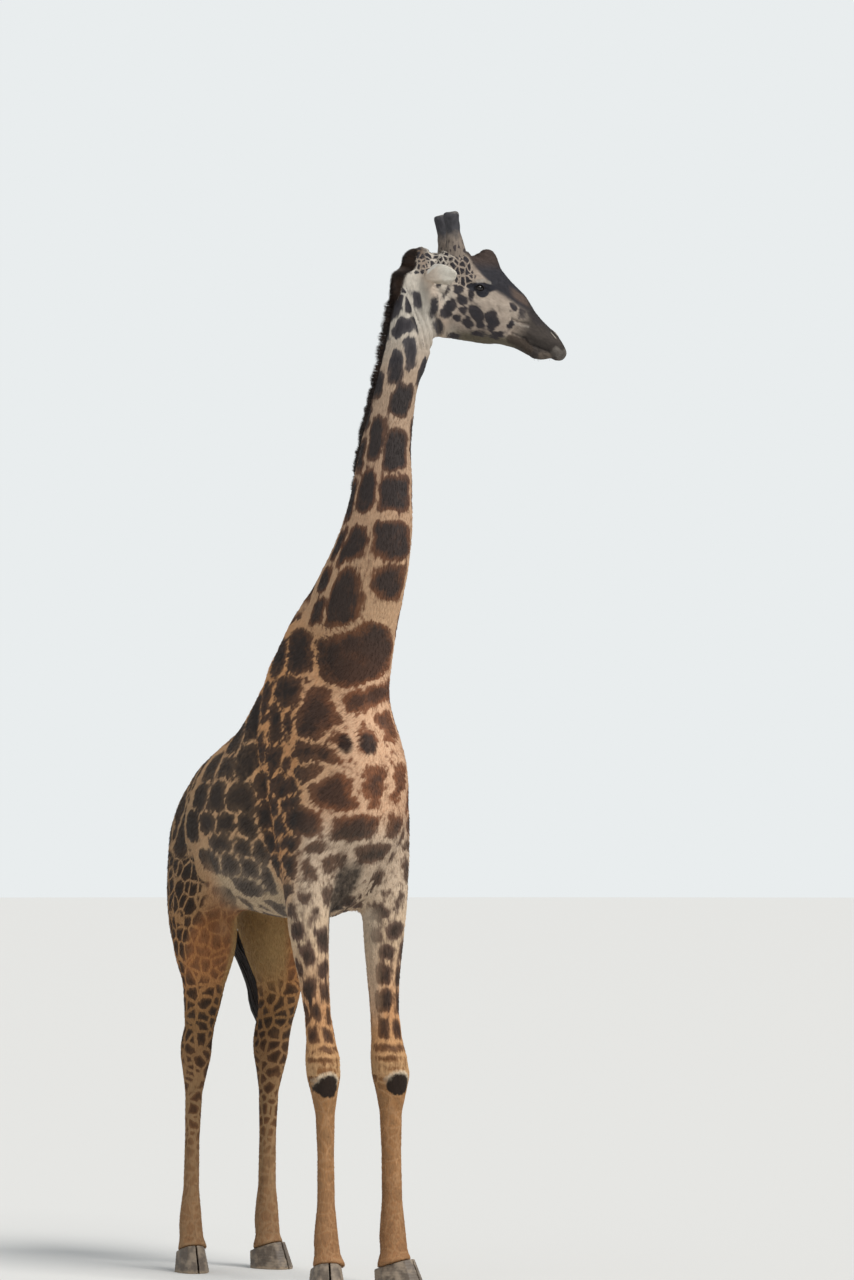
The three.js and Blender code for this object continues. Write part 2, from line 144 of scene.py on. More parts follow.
def blend_colours(tree, share, first, second):
    """The mix of two colours."""
    return add_node(tree, "ShaderNodeMix", {0: share, 6: first, 7: second}, data_type="RGBA").outputs[2]


def new_material(name, **values):
    """A material whose Principled shader has these plain values. Returns material, tree and shader."""
    material = bpy.data.materials.new(name)
    material.use_nodes = True
    shader = material.node_tree.nodes["Principled BSDF"]
    for key, value in values.items():
        shader.inputs[key.replace("_", " ")].default_value = value
    return material, material.node_tree, shader


def set_relief(tree, shader, height, strength, distance):
    """A bump of this height on the shader's normal."""
    relief = made(tree, "ShaderNodeBump", {"Strength": strength, "Distance": distance, "Height": height})
    tree.links.new(relief, shader.inputs["Normal"])


# %% Floor, sky and lamp
FLOOR_RADIUS = 120
PALE = linear("E6E6E4")
SKY_SEEN = opaque("E9EDEE")

floor_mesh = bpy.data.meshes.new("floor")
floor_shape = bmesh.new()
bmesh.ops.create_circle(floor_shape, cap_ends=True, segments=96, radius=FLOOR_RADIUS)
floor_shape.to_mesh(floor_mesh)
floor = new_object("floor", floor_mesh)
floor_finish, tree, shader = new_material("pale floor", Roughness=0.9)
grain = add_node(tree, "ShaderNodeTexNoise", {"Scale": 0.6, "Detail": 4.0})
shade = blend_colours(tree, grain.outputs["Fac"], (*PALE, 1), (*[c * 0.94 for c in PALE], 1))
tree.links.new(shade, shader.inputs["Base Color"])
floor_mesh.materials.append(floor_finish)

sky = bpy.data.worlds.new("sky")
sky.use_nodes = True
tree = sky.node_tree
seen = add_node(tree, "ShaderNodeBackground", {"Color": SKY_SEEN})
lights = tree.nodes["Background"]
lights.inputs["Color"].default_value = (0.93, 0.97, 1.0, 1)
lights.inputs["Strength"].default_value = 0.46
path = add_node(tree, "ShaderNodeLightPath")
choice = add_node(tree, "ShaderNodeMixShader", {0: path.outputs["Is Camera Ray"]})
tree.links.new(lights.outputs[0], choice.inputs[1])
tree.links.new(seen.outputs[0], choice.inputs[2])
tree.links.new(choice.outputs[0], tree.nodes["World Output"].inputs["Surface"])
bpy.context.scene.world = sky

lamp_data = bpy.data.lights.new("soft lamp", "SUN")
lamp_data.angle = math.radians(24)
lamp_data.energy = 2.7
lamp_data.color = (1.0, 0.97, 0.93)
lamp = new_object("soft lamp", lamp_data)
lamp.location = (10, 1.5, 13)
lamp.rotation_euler = (Vector((0, 0, 2.4)) - lamp.location).to_track_quat("-Z", "Y").to_euler()

# %% [markdown]
# ## One skin from the solids of flesh
# The frame parts the flesh with thin flat cuts. A real giraffe has no such seams, so copies of those
# solids, swollen by less than a millimetre to close the cuts, are joined into one body. A voxel remesh
# gives it even faces. Smoothing then takes the facets away, most of all on the broad trunk. Last, the
# mesh is thinned, less on the head than on the body, to keep it under 200,000 triangles.

# %% Mesh helpers
def read(mesh, path="vertices", name="co", width=3, kind=np.float32):
    """One property of all vertices, edges or polygons of a mesh, as an array."""
    items = getattr(mesh, path)
    values = np.zeros(len(items) * width, kind)
    items.foreach_get(name, values)
    return values.reshape(-1, width) if width > 1 else values


def place(mesh, points):
    """Moves all vertices of a mesh."""
    mesh.vertices.foreach_set("co", np.asarray(points, np.float32).ravel())
    mesh.update()


def applied(thing, name):
    """The mesh that an object's modifiers make. The object is then removed."""
    graph = bpy.context.evaluated_depsgraph_get()
    mesh = bpy.data.meshes.new_from_object(thing.evaluated_get(graph))
    mesh.name = name
    bpy.data.objects.remove(thing)
    return mesh


def with_modifier(thing, kind, **settings):
    """Adds a modifier with these settings."""
    modifier = thing.modifiers.new(kind.lower(), kind)
    for key, value in settings.items():
        setattr(modifier, key, value)
    return modifier


def node_copy(name, swell=0.0):
    """A copy of a solid with its shared corners merged, swollen a little, as a mesh."""
    shape = bmesh.new()
    shape.from_mesh(nodes[name].data)
    bmesh.ops.remove_doubles(shape, verts=shape.verts, dist=1e-5)
    shape.normal_update()
    moved = [vertex.co + vertex.normal * swell for vertex in shape.verts]
    for vertex, point in zip(shape.verts, moved):
        vertex.co = point
    mesh = bpy.data.meshes.new(name + "_copy")
    shape.to_mesh(mesh)
    return mesh


def rise(low, high, values):
    """0 at low, 1 at high, smooth between, for whole arrays; low may be above high."""
    share = np.clip((values - low) / (high - low), 0, 1)
    return share * share * (3 - 2 * share)


# %% The head's own directions
EYE_FROM_POLL = (0.247, -0.127)  # forward and up, in metres
HEAD_FROM = 4.2  # no part of the head lies lower

eye_centres = {}
for side in ("left", "right"):
    low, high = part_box(f"eye_{side}")
    eye_centres[side] = np.array((low + high) / 2)
head_left = eye_centres["left"] - eye_centres["right"]
head_left /= np.linalg.norm(head_left)
head_ahead = np.array((head_left[1], -head_left[0], 0.0))
poll = (eye_centres["left"] + eye_centres["right"]) / 2
poll = poll - EYE_FROM_POLL[0] * head_ahead - EYE_FROM_POLL[1] * np.array((0, 0, 1.0))
head_axes = np.array((head_ahead, head_left, (0, 0, 1.0)))


def in_head(points):
    """Points as forward, left and up from the poll."""
    return (points - poll) @ head_axes.T


def from_head(points):
    """Points given as forward, left and up from the poll, in the frame."""
    return np.asarray(points) @ head_axes + poll


head_turn = math.degrees(math.atan2(head_ahead[1], head_ahead[0]))
print("poll at", poll.round(3), "head turned", round(head_turn))

# %% Join the flesh
LEGS = [f"leg_{pair}_{side}" for pair in ("front", "hind") for side in ("left", "right")]
FORELEGS = LEGS[:2]
FLESH = ["trunk", "neck", "head", "tail", "ear_left", "ear_right", *LEGS]
SWELL = 0.0008
HORN_ROOT = 0.10  # only this share of a horn fills its socket in the head

filling = {name: node_copy(name, SWELL) for name in ("eye_left", "eye_right")}
for side in ("left", "right"):
    name = f"ossicone_{side}"
    filling[name] = node_copy(name, SWELL)
    points = read(filling[name])
    points[:, 2] = points[:, 2].min() + HORN_ROOT * (points[:, 2] - points[:, 2].min())
    place(filling[name], points)

# The tail swings a little less far aside than its solid, so that it hangs between the hind legs.
TAIL_SWING = 0.09


def swung(points):
    """The tail's points, moved to the animal's right from the rump down."""
    share = rise(2.15, 1.55, points[:, 2])
    return points - TAIL_SWING * share[:, None] * np.array((0, 1.0, 0))


filling["tail"] = node_copy("tail", SWELL)
place(filling["tail"], swung(read(filling["tail"]).astype(float)))

# The mane's root lies inside the nape. Filling its slot needs only that root.
filling["mane"] = node_copy("mane", SWELL)
MANE_STANDS = 0.036  # above the nape


def into_nape(points):
    """The way from the mane into the neck, which turns with the head near the poll."""
    near_poll = rise(4.0, 4.6, points[:, 2])[:, None]
    return near_poll * head_ahead + (1 - near_poll) * np.array((1.0, 0, 0))


crest = read(filling["mane"]).astype(float)
place(filling["mane"], crest + MANE_STANDS * into_nape(crest))

body = new_object("body", node_copy(FLESH[0], SWELL))
others = [new_object(n, node_copy(n, SWELL)) for n in FLESH[1:] if n not in filling]
others += [new_object(n, mesh) for n, mesh in filling.items()]
for other in others:
    with_modifier(body, "BOOLEAN", operation="UNION", solver="MANIFOLD", object=other)
flesh = applied(body, "flesh")
for other in others:
    bpy.data.objects.remove(other)
print("joined flesh:", len(flesh.vertices), "corners")

# %% Remesh, smooth and thin
VOXEL = 0.006
SMOOTHING = 200
SKIN_TRIANGLES = 150_000


def softness(points):
    """How much each part of the body is smoothed: trunk and neck fully, thin legs and the head hardly."""
    x, z = points[:, 0], points[:, 2]
    forward, _, up = in_head(points).T
    behind_head = np.maximum(rise(0.0, -0.12, forward + 0.34 * (up - 0.04)), rise(4.25, 4.1, z))
    above_legs = 0.10 + 0.9 * rise(1.25, 2.0, z)
    below_head = 0.03 + 0.97 * behind_head
    tail = 0.10 + 0.9 * rise(-0.98, -0.88, x)
    return above_legs * below_head * tail


def weigh(thing, name, weights, steps=20):
    """A vertex group whose weights are rounded to a few steps, because that is quick to fill."""
    group = thing.vertex_groups.new(name=name)
    levels = np.round(weights * steps).astype(int)
    for level in np.unique(levels[levels > 0]):
        group.add(np.nonzero(levels == level)[0].tolist(), level / steps, "REPLACE")


remeshed = new_object("remeshed", flesh)
with_modifier(remeshed, "REMESH", mode="VOXEL", voxel_size=VOXEL)
flesh_corners = read(flesh)
flesh_faces = [tuple(p.vertices) for p in flesh.polygons]
flesh_tree = BVHTree.FromPolygons(flesh_corners.tolist(), flesh_faces)
remeshed = new_object("thinned", applied(remeshed, "fine"))
fine_points = read(remeshed.data)
weigh(remeshed, "soft", softness(fine_points))
on_head = (in_head(fine_points)[:, 0] > -0.12) & (fine_points[:, 2] > 4.25)
looseness = np.where(on_head, 0.9, np.where(fine_points[:, 2] < 1.25, 0.98, 0.99))
weigh(remeshed, "loose", looseness, 100)
with_modifier(remeshed, "SMOOTH", factor=0.5, iterations=SMOOTHING, vertex_group="soft")
ratio = SKIN_TRIANGLES / (2 * len(remeshed.data.polygons))
with_modifier(remeshed, "DECIMATE", ratio=ratio, vertex_group="loose", vertex_group_factor=1.0)
skin_mesh = applied(remeshed, "giraffe_skin")
print("skin:", len(skin_mesh.vertices), "vertices,", len(skin_mesh.polygons), "faces")

# %% [markdown]
# ## Finer faces where the face needs them, and the skin's depth
# Lids, lips and nostrils need smaller faces than a flank, so the triangles round them are split again.
# Smoothing has shrunk the body a little, so each part is then moved out or in until it lies inside the
# solids by the depth of the coat. The move is itself spread over the surface, so facets don't return.

# %% Keep the one body and refine the face
NOSTRIL_AT = (0.637, 0.045, -0.326)
MOUTH = [(0.428, -0.324), (0.495, -0.346), (0.511, -0.373), (0.552, -0.385), (0.611, -0.405)]
MOUTH.append((0.64, -0.437))
EYE_AT = in_head(eye_centres["left"])


def edge_pairs(mesh):
    """The two ends of each edge."""
    return read(mesh, "edges", "vertices", 2, np.int32)


def largest_body(mesh):
    """Removes loose scraps: all that isn't joined to the largest body of faces."""
    label = np.arange(len(mesh.vertices))
    ends = edge_pairs(mesh)
    while True:
        low = np.minimum(label[ends[:, 0]], label[ends[:, 1]])
        new = label.copy()
        np.minimum.at(new, ends[:, 0], low)
        np.minimum.at(new, ends[:, 1], low)
        new = new[new]
        if (new == label).all():
            break
        label = new
    main = np.bincount(label).argmax()
    shape = bmesh.new()
    shape.from_mesh(mesh)
    scraps = [v for v in shape.verts if label[v.index] != main]
    bmesh.ops.delete(shape, geom=scraps, context="VERTS")
    bmesh.ops.triangulate(shape, faces=shape.faces)
    return shape


def refine(shape, near):
    """Splits every triangle with a corner where near, a function of head points, is true."""
    shape.verts.ensure_lookup_table()
    points = in_head(np.array([v.co for v in shape.verts]))
    points[:, 1] = abs(points[:, 1])
    chosen = near(points)
    faces = {f for i in np.nonzero(chosen)[0] for f in shape.verts[i].link_faces}
    edges = {e for f in faces for e in f.edges}
    bmesh.ops.subdivide_edges(shape, edges=list(edges), cuts=1)
    bmesh.ops.triangulate(shape, faces=shape.faces)


def close_to(points, at, reach):
    """Whether points lie within reach of a place."""
    return np.linalg.norm(points - at, axis=1) < reach


shape = largest_body(skin_mesh)
for eye_reach, nostril_reach in ((0.062, 0.045), (0.045, 0.025)):
    refine(shape, lambda p: close_to(p, EYE_AT, eye_reach) | close_to(p, NOSTRIL_AT, nostril_reach))
shape.to_mesh(skin_mesh)
shape.free()
print("refined skin:", len(skin_mesh.vertices), "vertices,", len(skin_mesh.polygons), "triangles")

# %% Spread values over the surface
ends = edge_pairs(skin_mesh)
count = len(skin_mesh.vertices)
neighbours = np.bincount(ends.ravel(), minlength=count)


def spread(values, rounds, share=0.5):
    """Evens values out: each round moves every vertex's value towards its neighbours' mean."""
    values = np.array(values, float)
    columns = values.reshape(count, -1)
    for _ in range(rounds):
        for k in range(columns.shape[1]):
            total = np.bincount(ends[:, 0], columns[ends[:, 1], k], count)
            total += np.bincount(ends[:, 1], columns[ends[:, 0], k], count)
            columns[:, k] += share * (total / neighbours - columns[:, k])
    return columns.reshape(values.shape)


def normals_of(mesh):
    """The outward direction at each vertex."""
    return read(mesh, "vertex_normals", "vector")


# %% Lay the skin inside the solids
points = read(skin_mesh).astype(float)
head_points = in_head(points)
coat_depth = 0.005 - 0.0025 * rise(-0.1, 0.1, head_points[:, 0]) * (points[:, 2] > HEAD_FROM)
coat_depth -= 0.002 * rise(1.2, 0.8, points[:, 2])
soft = softness(points)
forward, aside, up = head_points.T
cheek = rise(0.02, 0.06, forward) * rise(0.46, 0.38, forward) * rise(-0.03, -0.08, up)
cheek *= rise(0.20, 0.16, abs(aside)) * (points[:, 2] > HEAD_FROM)
bridge = rise(0.28, 0.33, forward) * rise(0.66, 0.56, forward)
bridge *= rise(-0.40, -0.33, up + 0.35 * forward - 0.13)
soft = np.maximum(soft, np.maximum(cheek, 0.7 * bridge * (points[:, 2] > HEAD_FROM)))
# Each pass: how far the move is spread, how often the skin itself is evened, and whether soft parts stay.
for rounds, evenings, hold in ((40, 50, 0), (60, 0, 0), (12, 2, 1)):
    points += (spread(points, evenings) - points) * np.maximum(soft, 0.4 * hold)[:, None]
    place(skin_mesh, points)
    outwards = normals_of(skin_mesh)
    gap = np.zeros(count)
    for i, point in enumerate(points):
        at, facing, _, distance = flesh_tree.find_nearest(point)
        gap[i] = math.copysign(distance, (Vector(point) - at).dot(facing))
    miss = np.clip(-coat_depth - gap, -0.03, 0.03)
    points += outwards * spread(miss * (1 - hold * soft), rounds)[:, None]
    place(skin_mesh, points)
    print("mean miss", round(1000 * float(np.abs(miss).mean()), 2), "mm")

# %% [markdown]
# ## Where each part of the body is
# The sculpting, the lie of the hair and the markings all ask which part of the animal a point is on. The
# parts fade into each other, so each is a share from 0 to 1. Middle lines through the neck and the legs
# come from the solids' own corners.

# %% Middle lines
def middle_line(name, rows=14):
    """Heights along a node, and the middle of the node's outline at each."""
    corners = read(nodes[name].data).astype(float)
    low, high = corners[:, 2].min(), corners[:, 2].max()
    heights = np.linspace(low, high, rows)
    window = (high - low) / rows
    middles = []
    for height in heights:
        near = corners[abs(corners[:, 2] - height) < window]
        middles.append((near.min(0) + near.max(0))[:2] / 2)
    return heights, np.array(middles)


def along(line, heights):
    """The middle of a line at these heights, as x and y."""
    return np.stack([np.interp(heights, line[0], line[1][:, k]) for k in (0, 1)], 1)


neck_line = middle_line("neck")
mane_line = middle_line("mane")
leg_lines = {name: middle_line(name) for name in LEGS}

# %% Body parts
NECK_PLANE = (0.313, 3.02, 0.35)  # x, height and slope of the plane between neck and trunk
TAIL_FROM = -0.93  # only the tail lies further back


class Body:
    """Places and shares of the body for an array of points on the skin."""

    def __init__(self, points, outwards):
        self.points, self.outwards = points, outwards
        x, y, z = points.T
        self.x, self.y, self.z = x, y, z
        self.forward, self.side, self.up = in_head(points).T
        low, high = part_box("trunk")
        self.middle = (low.y + high.y) / 2
        self.lateral = y - self.middle
        cut = ((self.forward + 0.03) + 0.34 * (self.up - 0.04)) / 1.056
        self.head = rise(-0.05, 0.05, cut) * rise(4.2, 4.3, z)
        above = (z - NECK_PLANE[1] + NECK_PLANE[2] * (x - NECK_PLANE[0])) / 1.06
        self.neck = rise(-0.12, 0.2, above) * (1 - self.head)
        belly = rise(-0.42, -0.34, x) * rise(0.20, 0.10, x) * rise(1.58, 1.66, z)
        self.low_down = rise(2.0, 1.66, z) * (1 - belly)
        self.fore = self.low_down * (x > 0)
        self.hind = self.low_down * (x <= 0) * (x > TAIL_FROM)
        low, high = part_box("tail")
        self.tail = ((x < TAIL_FROM) & (z < high.z - 0.06)) * 1.0
        ear_reach = abs(self.side) - (0.122 + 0.05 * rise(0.06, 0.16, self.forward))
        self.ear = rise(0, 0.02, ear_reach) * (z > 4.5) * (self.forward < 0.2) * (self.up > -0.2)
        self.ear = self.ear * (self.up < 0.06)


b = Body(points, normals_of(skin_mesh))
for part in ("head", "neck", "fore", "hind", "tail", "ear"):
    print("mean share of", part, round(float(getattr(b, part).mean()), 3))

# %% [markdown]
# ## Folds, lids, lips and tendons
# The solids give the true outline. What lies finer than their facets is carved here: each groove or
# ridge follows a short path seen from the side, and pushes the skin in or out with a soft edge. The eye
# lies in its socket between two lids. The skin is laid round the eyeball as a thin shell, and inside the
# slit it is drawn back behind the eyeball.

# %% How to carve along a path
def distance_to_path(flat, path):
    """The distance of flat points to a path of straight stretches."""
    best = np.full(len(flat), 9.0)
    for a, b in zip(np.asarray(path[:-1], float), np.asarray(path[1:], float)):
        run = b - a
        share = np.clip(((flat - a) @ run) / (run @ run), 0, 1)
        best = np.minimum(best, np.linalg.norm(flat - a - share[:, None] * run, axis=1))
    return best


def carve(flat, path, depth, width, where):
    """How far the skin moves out (a negative depth moves it in) along a path."""
    return depth * np.exp(-((distance_to_path(flat, path) / width) ** 2)) * where


def turned_by(tilt, run, climb):
    """A flat place in directions that are tilted by so many degrees."""
    turn = math.radians(tilt)
    return run * math.cos(turn) + climb * math.sin(turn), -run * math.sin(turn) + climb * math.cos(turn)


# %% Carving of the face
# Paths on each side of the face, forward and up from the poll, then the depth and the width.
FACE_PATHS = [
    (MOUTH, -0.006, 0.0045),  # the line of the lips
    ([(0.395, -0.352), (0.43, -0.322), (0.445, -0.30)], -0.006, 0.008),  # the corner's fold
    ([(0.452, -0.30), (0.50, -0.318), (0.56, -0.352)], 0.003, 0.010),  # the upper lip's edge
    ([(0.30, -0.195), (0.36, -0.21), (0.43, -0.225)], 0.005, 0.018),  # the crest of the cheek
    ([(0.20, -0.165), (0.245, -0.18), (0.29, -0.168)], -0.004, 0.008),  # the fold under the eye
    ([(0.18, -0.10), (0.235, -0.072), (0.29, -0.092)], 0.004, 0.012),  # the brow
    ([(0.285, -0.15), (0.325, -0.185), (0.345, -0.24)], -0.0035, 0.010),  # the tear groove
    ([(0.415, -0.262), (0.45, -0.274), (0.50, -0.281)], -0.008, 0.007),  # the fold over the cheek
    ([(0.41, -0.278), (0.45, -0.29), (0.50, -0.297)], 0.003, 0.008),  # and the ridge below it
    ([(0.10, -0.16), (0.085, -0.23), (0.125, -0.30), (0.20, -0.335)], -0.005, 0.016),  # the jaw's rear
    ([(0.30, -0.235), (0.265, -0.29), (0.235, -0.345)], -0.003, 0.014),  # the cheek muscle's front
    ([(0.35, -0.10), (0.42, -0.16), (0.50, -0.23)], 0.003, 0.010),  # a vein beside the nose
    ([(0.56, -0.405), (0.585, -0.428), (0.62, -0.438)], -0.003, 0.006),  # the lower lip's crease
    ([(0.515, -0.375), (0.53, -0.40), (0.535, -0.425)], -0.0025, 0.006),  # a crease of the chin
]
face = b.head * (abs(b.side) > 0.012)
flat = np.stack((b.forward, b.up), 1)
push = sum(carve(flat, path, depth, width, face) for path, depth, width in FACE_PATHS)
WRINKLES, WRINKLE_STEP = 5, 0.030
wrinkles = []  # slanting wrinkles of the throat, behind the jaw
for k in range(WRINKLES):
    at = -0.045 + WRINKLE_STEP * k
    wrinkles.append([(at - 0.03, -0.25), (at, -0.32), (at + 0.025, -0.41)])
    beside = rise(0.0, 0.02, abs(b.side)) * (b.z > HEAD_FROM)
    push += carve(flat, wrinkles[-1], -0.007, 0.010, beside)

# %% Carving of the body
# Paths on each side of the body: along and height. They lie on the flank side of a limb or the trunk.
BODY_PATHS = [
    ([(-0.02, 3.0), (0.06, 2.54), (0.15, 2.27), (0.17, 2.07), (0.26, 1.93), (0.30, 1.74)], -0.016, 0.026),
    ([(0.08, 2.9), (0.14, 2.54), (0.22, 2.27), (0.25, 2.09)], 0.008, 0.045),  # the shoulder's edge
    ([(-0.33, 2.12), (-0.36, 1.93), (-0.30, 1.75)], -0.016, 0.030),  # before the thigh
    ([(-0.62, 2.30), (-0.52, 2.10), (-0.46, 1.85)], 0.010, 0.060),  # the thigh muscle
    ([(-0.78, 2.15), (-0.76, 1.85), (-0.72, 1.6)], -0.008, 0.035),  # behind the thigh
    ([(0.34, 2.45), (0.38, 2.2), (0.36, 1.95)], -0.008, 0.030),  # between shoulder and upper arm
    ([(-0.655, 1.50), (-0.700, 1.25), (-0.705, 1.12)], -0.012, 0.016),  # before the heel tendon
    ([(-0.70, 0.9), (-0.715, 0.6), (-0.72, 0.32)], -0.005, 0.010),  # tendon of the hind cannon
    ([(0.488, 0.8), (0.498, 0.55), (0.502, 0.32)], -0.005, 0.010),  # tendon of the fore cannon
    ([(0.40, 1.68), (0.42, 1.45), (0.45, 1.25)], -0.006, 0.016),  # forearm muscles
]
flat = np.stack((b.x, b.z), 1)
sideways = rise(0.15, 0.5, abs(b.outwards[:, 1])) * (b.head < 0.5)
push += sum(carve(flat, path, depth, width, sideways) for path, depth, width in BODY_PATHS)

# Down the middle of the chest, and across the knees.
front = rise(0.2, 0.6, b.outwards[:, 0]) * (b.x > 0.2) * (b.z < 2.9)
flat = np.stack((b.y, b.z), 1)
chest_line = [(b.middle, 2.75), (b.middle, 2.0)]
push += carve(flat, chest_line, -0.014, 0.030, front)
for aside in (-0.085, -0.05, 0.05, 0.085):  # loose folds of the brisket
    fold_line = [(b.middle + 0.6 * aside, 2.15), (b.middle + aside, 1.80)]
    push += carve(flat, fold_line, -0.009, 0.012, front)
flat = np.stack((np.zeros(count), b.z), 1)
for name in FORELEGS:
    knee = along(leg_lines[name], [1.02])[0]
    near_knee = front * (np.hypot(b.x - knee[0], b.y - knee[1]) < 0.16)
    for height in (1.03, 1.06, 1.09, 1.12):
        push += carve(flat, [(-0.1, height), (0.1, height)], -0.003, 0.008, near_knee)
points += b.outwards * push[:, None]
place(skin_mesh, points)
print("deepest groove", round(1000 * float(push.min()), 1), "mm")

# %% Nostrils
NOSTRIL_SLANT = -50  # degrees

nostril = in_head(points)
away = nostril[:, [0, 2]] - np.array(NOSTRIL_AT)[[0, 2]]
run, across = turned_by(NOSTRIL_SLANT, *away.T)
on_side = rise(0.006, 0.016, abs(nostril[:, 1]))
hollow = np.exp(-((run / 0.020) ** 4) - (across / 0.005) ** 2) * on_side
rim = np.exp(-((run / 0.027) ** 4) - ((abs(across) - 0.011) / 0.005) ** 2) * on_side
points += normals_of(skin_mesh) * (0.003 * rim - 0.012 * hollow)[:, None]
place(skin_mesh, points)

# %% Eyelids
LID = 0.003  # how far the lids stand out from the eyeball
EYE_RADIUS = (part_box("eye_left")[1].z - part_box("eye_left")[0].z) / 2
SLIT_HALF = (0.0215, 0.0150, 0.0140)  # half its length, then its height above and below
SLIT_TILT = -12  # degrees

in_socket = np.minimum(*[np.linalg.norm(points - at, axis=1) for at in eye_centres.values()]) / EYE_RADIUS
points += (spread(points, 40) - points) * rise(2.3, 1.5, in_socket)[:, None]

slit_gap = np.full(count, 1.0)  # distance from the slit's edge, negative inside
for side, sign in (("left", 1), ("right", -1)):
    ball = (points - eye_centres[side]) @ head_axes.T
    ahead, upwards = turned_by(SLIT_TILT, ball[:, 0], ball[:, 2])
    outward = ball[:, 1] * sign
    across = np.hypot(ahead, upwards)
    arch = np.clip(1 - (ahead / SLIT_HALF[0]) ** 2, 0, None) ** 0.8
    limit = np.where(upwards > 0, SLIT_HALF[1], SLIT_HALF[2]) * arch
    beyond = np.maximum(abs(ahead) - SLIT_HALF[0], 0)
    edge = np.where(beyond > 0, np.hypot(beyond, upwards), (abs(upwards) - limit) * 0.8)
    near = (across < 2 * EYE_RADIUS) & (outward > -0.01)
    edge = np.where(near, edge, 1.0)
    ball_front = np.sqrt(np.clip(EYE_RADIUS**2 - across**2, 0, None))
    ball_front -= 2 * np.maximum(across - EYE_RADIUS, 0)
    crease = 0.0025 * np.exp(-(((edge - 0.0085) / 0.003) ** 2))
    shell = ball_front + LID - crease
    over = 0.5 * (outward + shell + np.hypot(outward - shell, 0.004))
    target = np.where(edge < 0, ball_front - 0.005, over)
    move = np.where(near, target - outward, 0.0)
    points += sign * move[:, None] * head_left
    slit_gap = np.minimum(slit_gap, edge)
place(skin_mesh, points)
print("vertices on the lids", int(((slit_gap > 0) & (slit_gap < 0.012)).sum()))
skin_mesh.materials.clear()
skin_mesh.shade_smooth()
skin = new_object("giraffe_skin", skin_mesh)
b = Body(points, normals_of(skin_mesh))

# %% [markdown]
# ## Which way the hair lies
# A giraffe's coat is short and flat. The hair runs down the neck and the legs, back and down over the
# trunk, and from the nose up towards the poll. The direction is stored on the skin for the tufts, and
# so is a copy of each point's place squeezed along the hair, which turns a plain noise into strands.

# %% The lie of the hair and the strands
def to_units(vectors):
    """Each vector at length one."""
    return vectors / np.maximum(np.linalg.norm(vectors, axis=1), 1e-9)[:, None]


def axis_of(line):
    """The direction from the top of a middle line down to its foot."""
    rise_height = line[0][-1] - line[0][0]
    run = line[1][-1] - line[1][0]
    way = -np.array((*run, rise_height))
    return way / np.linalg.norm(way)


NECK_WAY = axis_of(neck_line)
TRUNK_WAY = np.array((-0.80, 0.0, -0.60))
LEG_WAY = np.array((0.0, 0.0, -1.0))
HEAD_WAY = from_head((-0.85, 0.0, 0.52)) - poll
JOINTS = {"neck": (0.35, 0.0, 3.0), "trunk": (0.0, 0.0, 2.6), "leg": (0.0, 0.0, 1.8), "head": tuple(poll)}
SQUEEZE = 0.86


def hair_lie(b):
    """The direction of the hair over the skin."""
    trunk = (1 - b.head) * (1 - b.neck) * (1 - b.low_down)
    way = b.neck[:, None] * NECK_WAY + trunk[:, None] * TRUNK_WAY + b.low_down[:, None] * LEG_WAY
    way += b.head[:, None] * HEAD_WAY
    outwards_ear = np.sign(b.side)[:, None] * head_left - 0.3 * head_ahead
    way = way * (1 - b.ear)[:, None] + b.ear[:, None] * outwards_ear
    way = way * (1 - b.tail)[:, None] + b.tail[:, None] * LEG_WAY
    way += b.outwards * 1e-3
    return to_units(way - b.outwards * (way * b.outwards).sum(1)[:, None])


def strands(b):
    """Places squeezed along the hair, from a joint that each part shares with the next."""
    trunk = (1 - b.head) * (1 - b.neck) * (1 - b.low_down)
    total = np.zeros_like(b.points)
    shares = {"neck": b.neck, "trunk": trunk, "leg": b.low_down, "head": b.head}
    for (name, share), way in zip(shares.items(), (NECK_WAY, TRUNK_WAY, LEG_WAY, HEAD_WAY)):
        offset = b.points - np.array(JOINTS[name])
        total += share[:, None] * (b.points - SQUEEZE * (offset @ way)[:, None] * way)
    return total


# %% [markdown]
# ## Where the markings come from
# On the neck, the trunk, the forelegs and the face every patch is an oval with a place, a size and a tilt
# of its own, and a pale line runs halfway between two that meet. The rest is filled by a Voronoi pattern:
# its cells are patches, and their borders are the pale lines. What differs over the body is the room in
# which the cells are laid out: rows and columns round the back of the neck, large cells on the rump, small
# ones that shrink down the hind legs and tiny ones on the crown. The skin keeps the distances and these
# rooms at its corners, and the material works the pattern out from them, so it is sharp anywhere.

# %% Neck rows, trunk cells and leg spots
NECK_COLUMNS = 7
BORDER_TURN = math.radians(-31)  # one border runs up the neck on this side
ROW_BORDERS = (1.90, 2.20, 2.53, 2.84, 3.13, 3.38, 3.56, 3.78, 4.01, 4.20, 4.39, 4.57, 4.75, 5.0)
CELL_SHIFT = 0.675  # a Voronoi cell's border lies here when its points are little scattered
TRUNK_CELL = (0.155, 0.175, 0.20)


def neck_room(b):
    """Columns round the neck, and rows down it."""
    middle = along(neck_line, b.z)
    turn = np.arctan2(b.y - middle[:, 1], b.x - middle[:, 0]) - BORDER_TURN
    seam = math.pi + BORDER_TURN  # the seam hides under the mane
    turn = (turn + seam) % (2 * math.pi) - seam
    columns = turn / (2 * math.pi) * NECK_COLUMNS + CELL_SHIFT
    rows = np.interp(b.z, ROW_BORDERS, np.arange(len(ROW_BORDERS))) + CELL_SHIFT
    return np.stack((columns, rows, np.zeros(len(rows))), 1)


def trunk_room(b):
    """Large cells, a little wider along the body than across it."""
    return b.points / np.array(TRUNK_CELL)


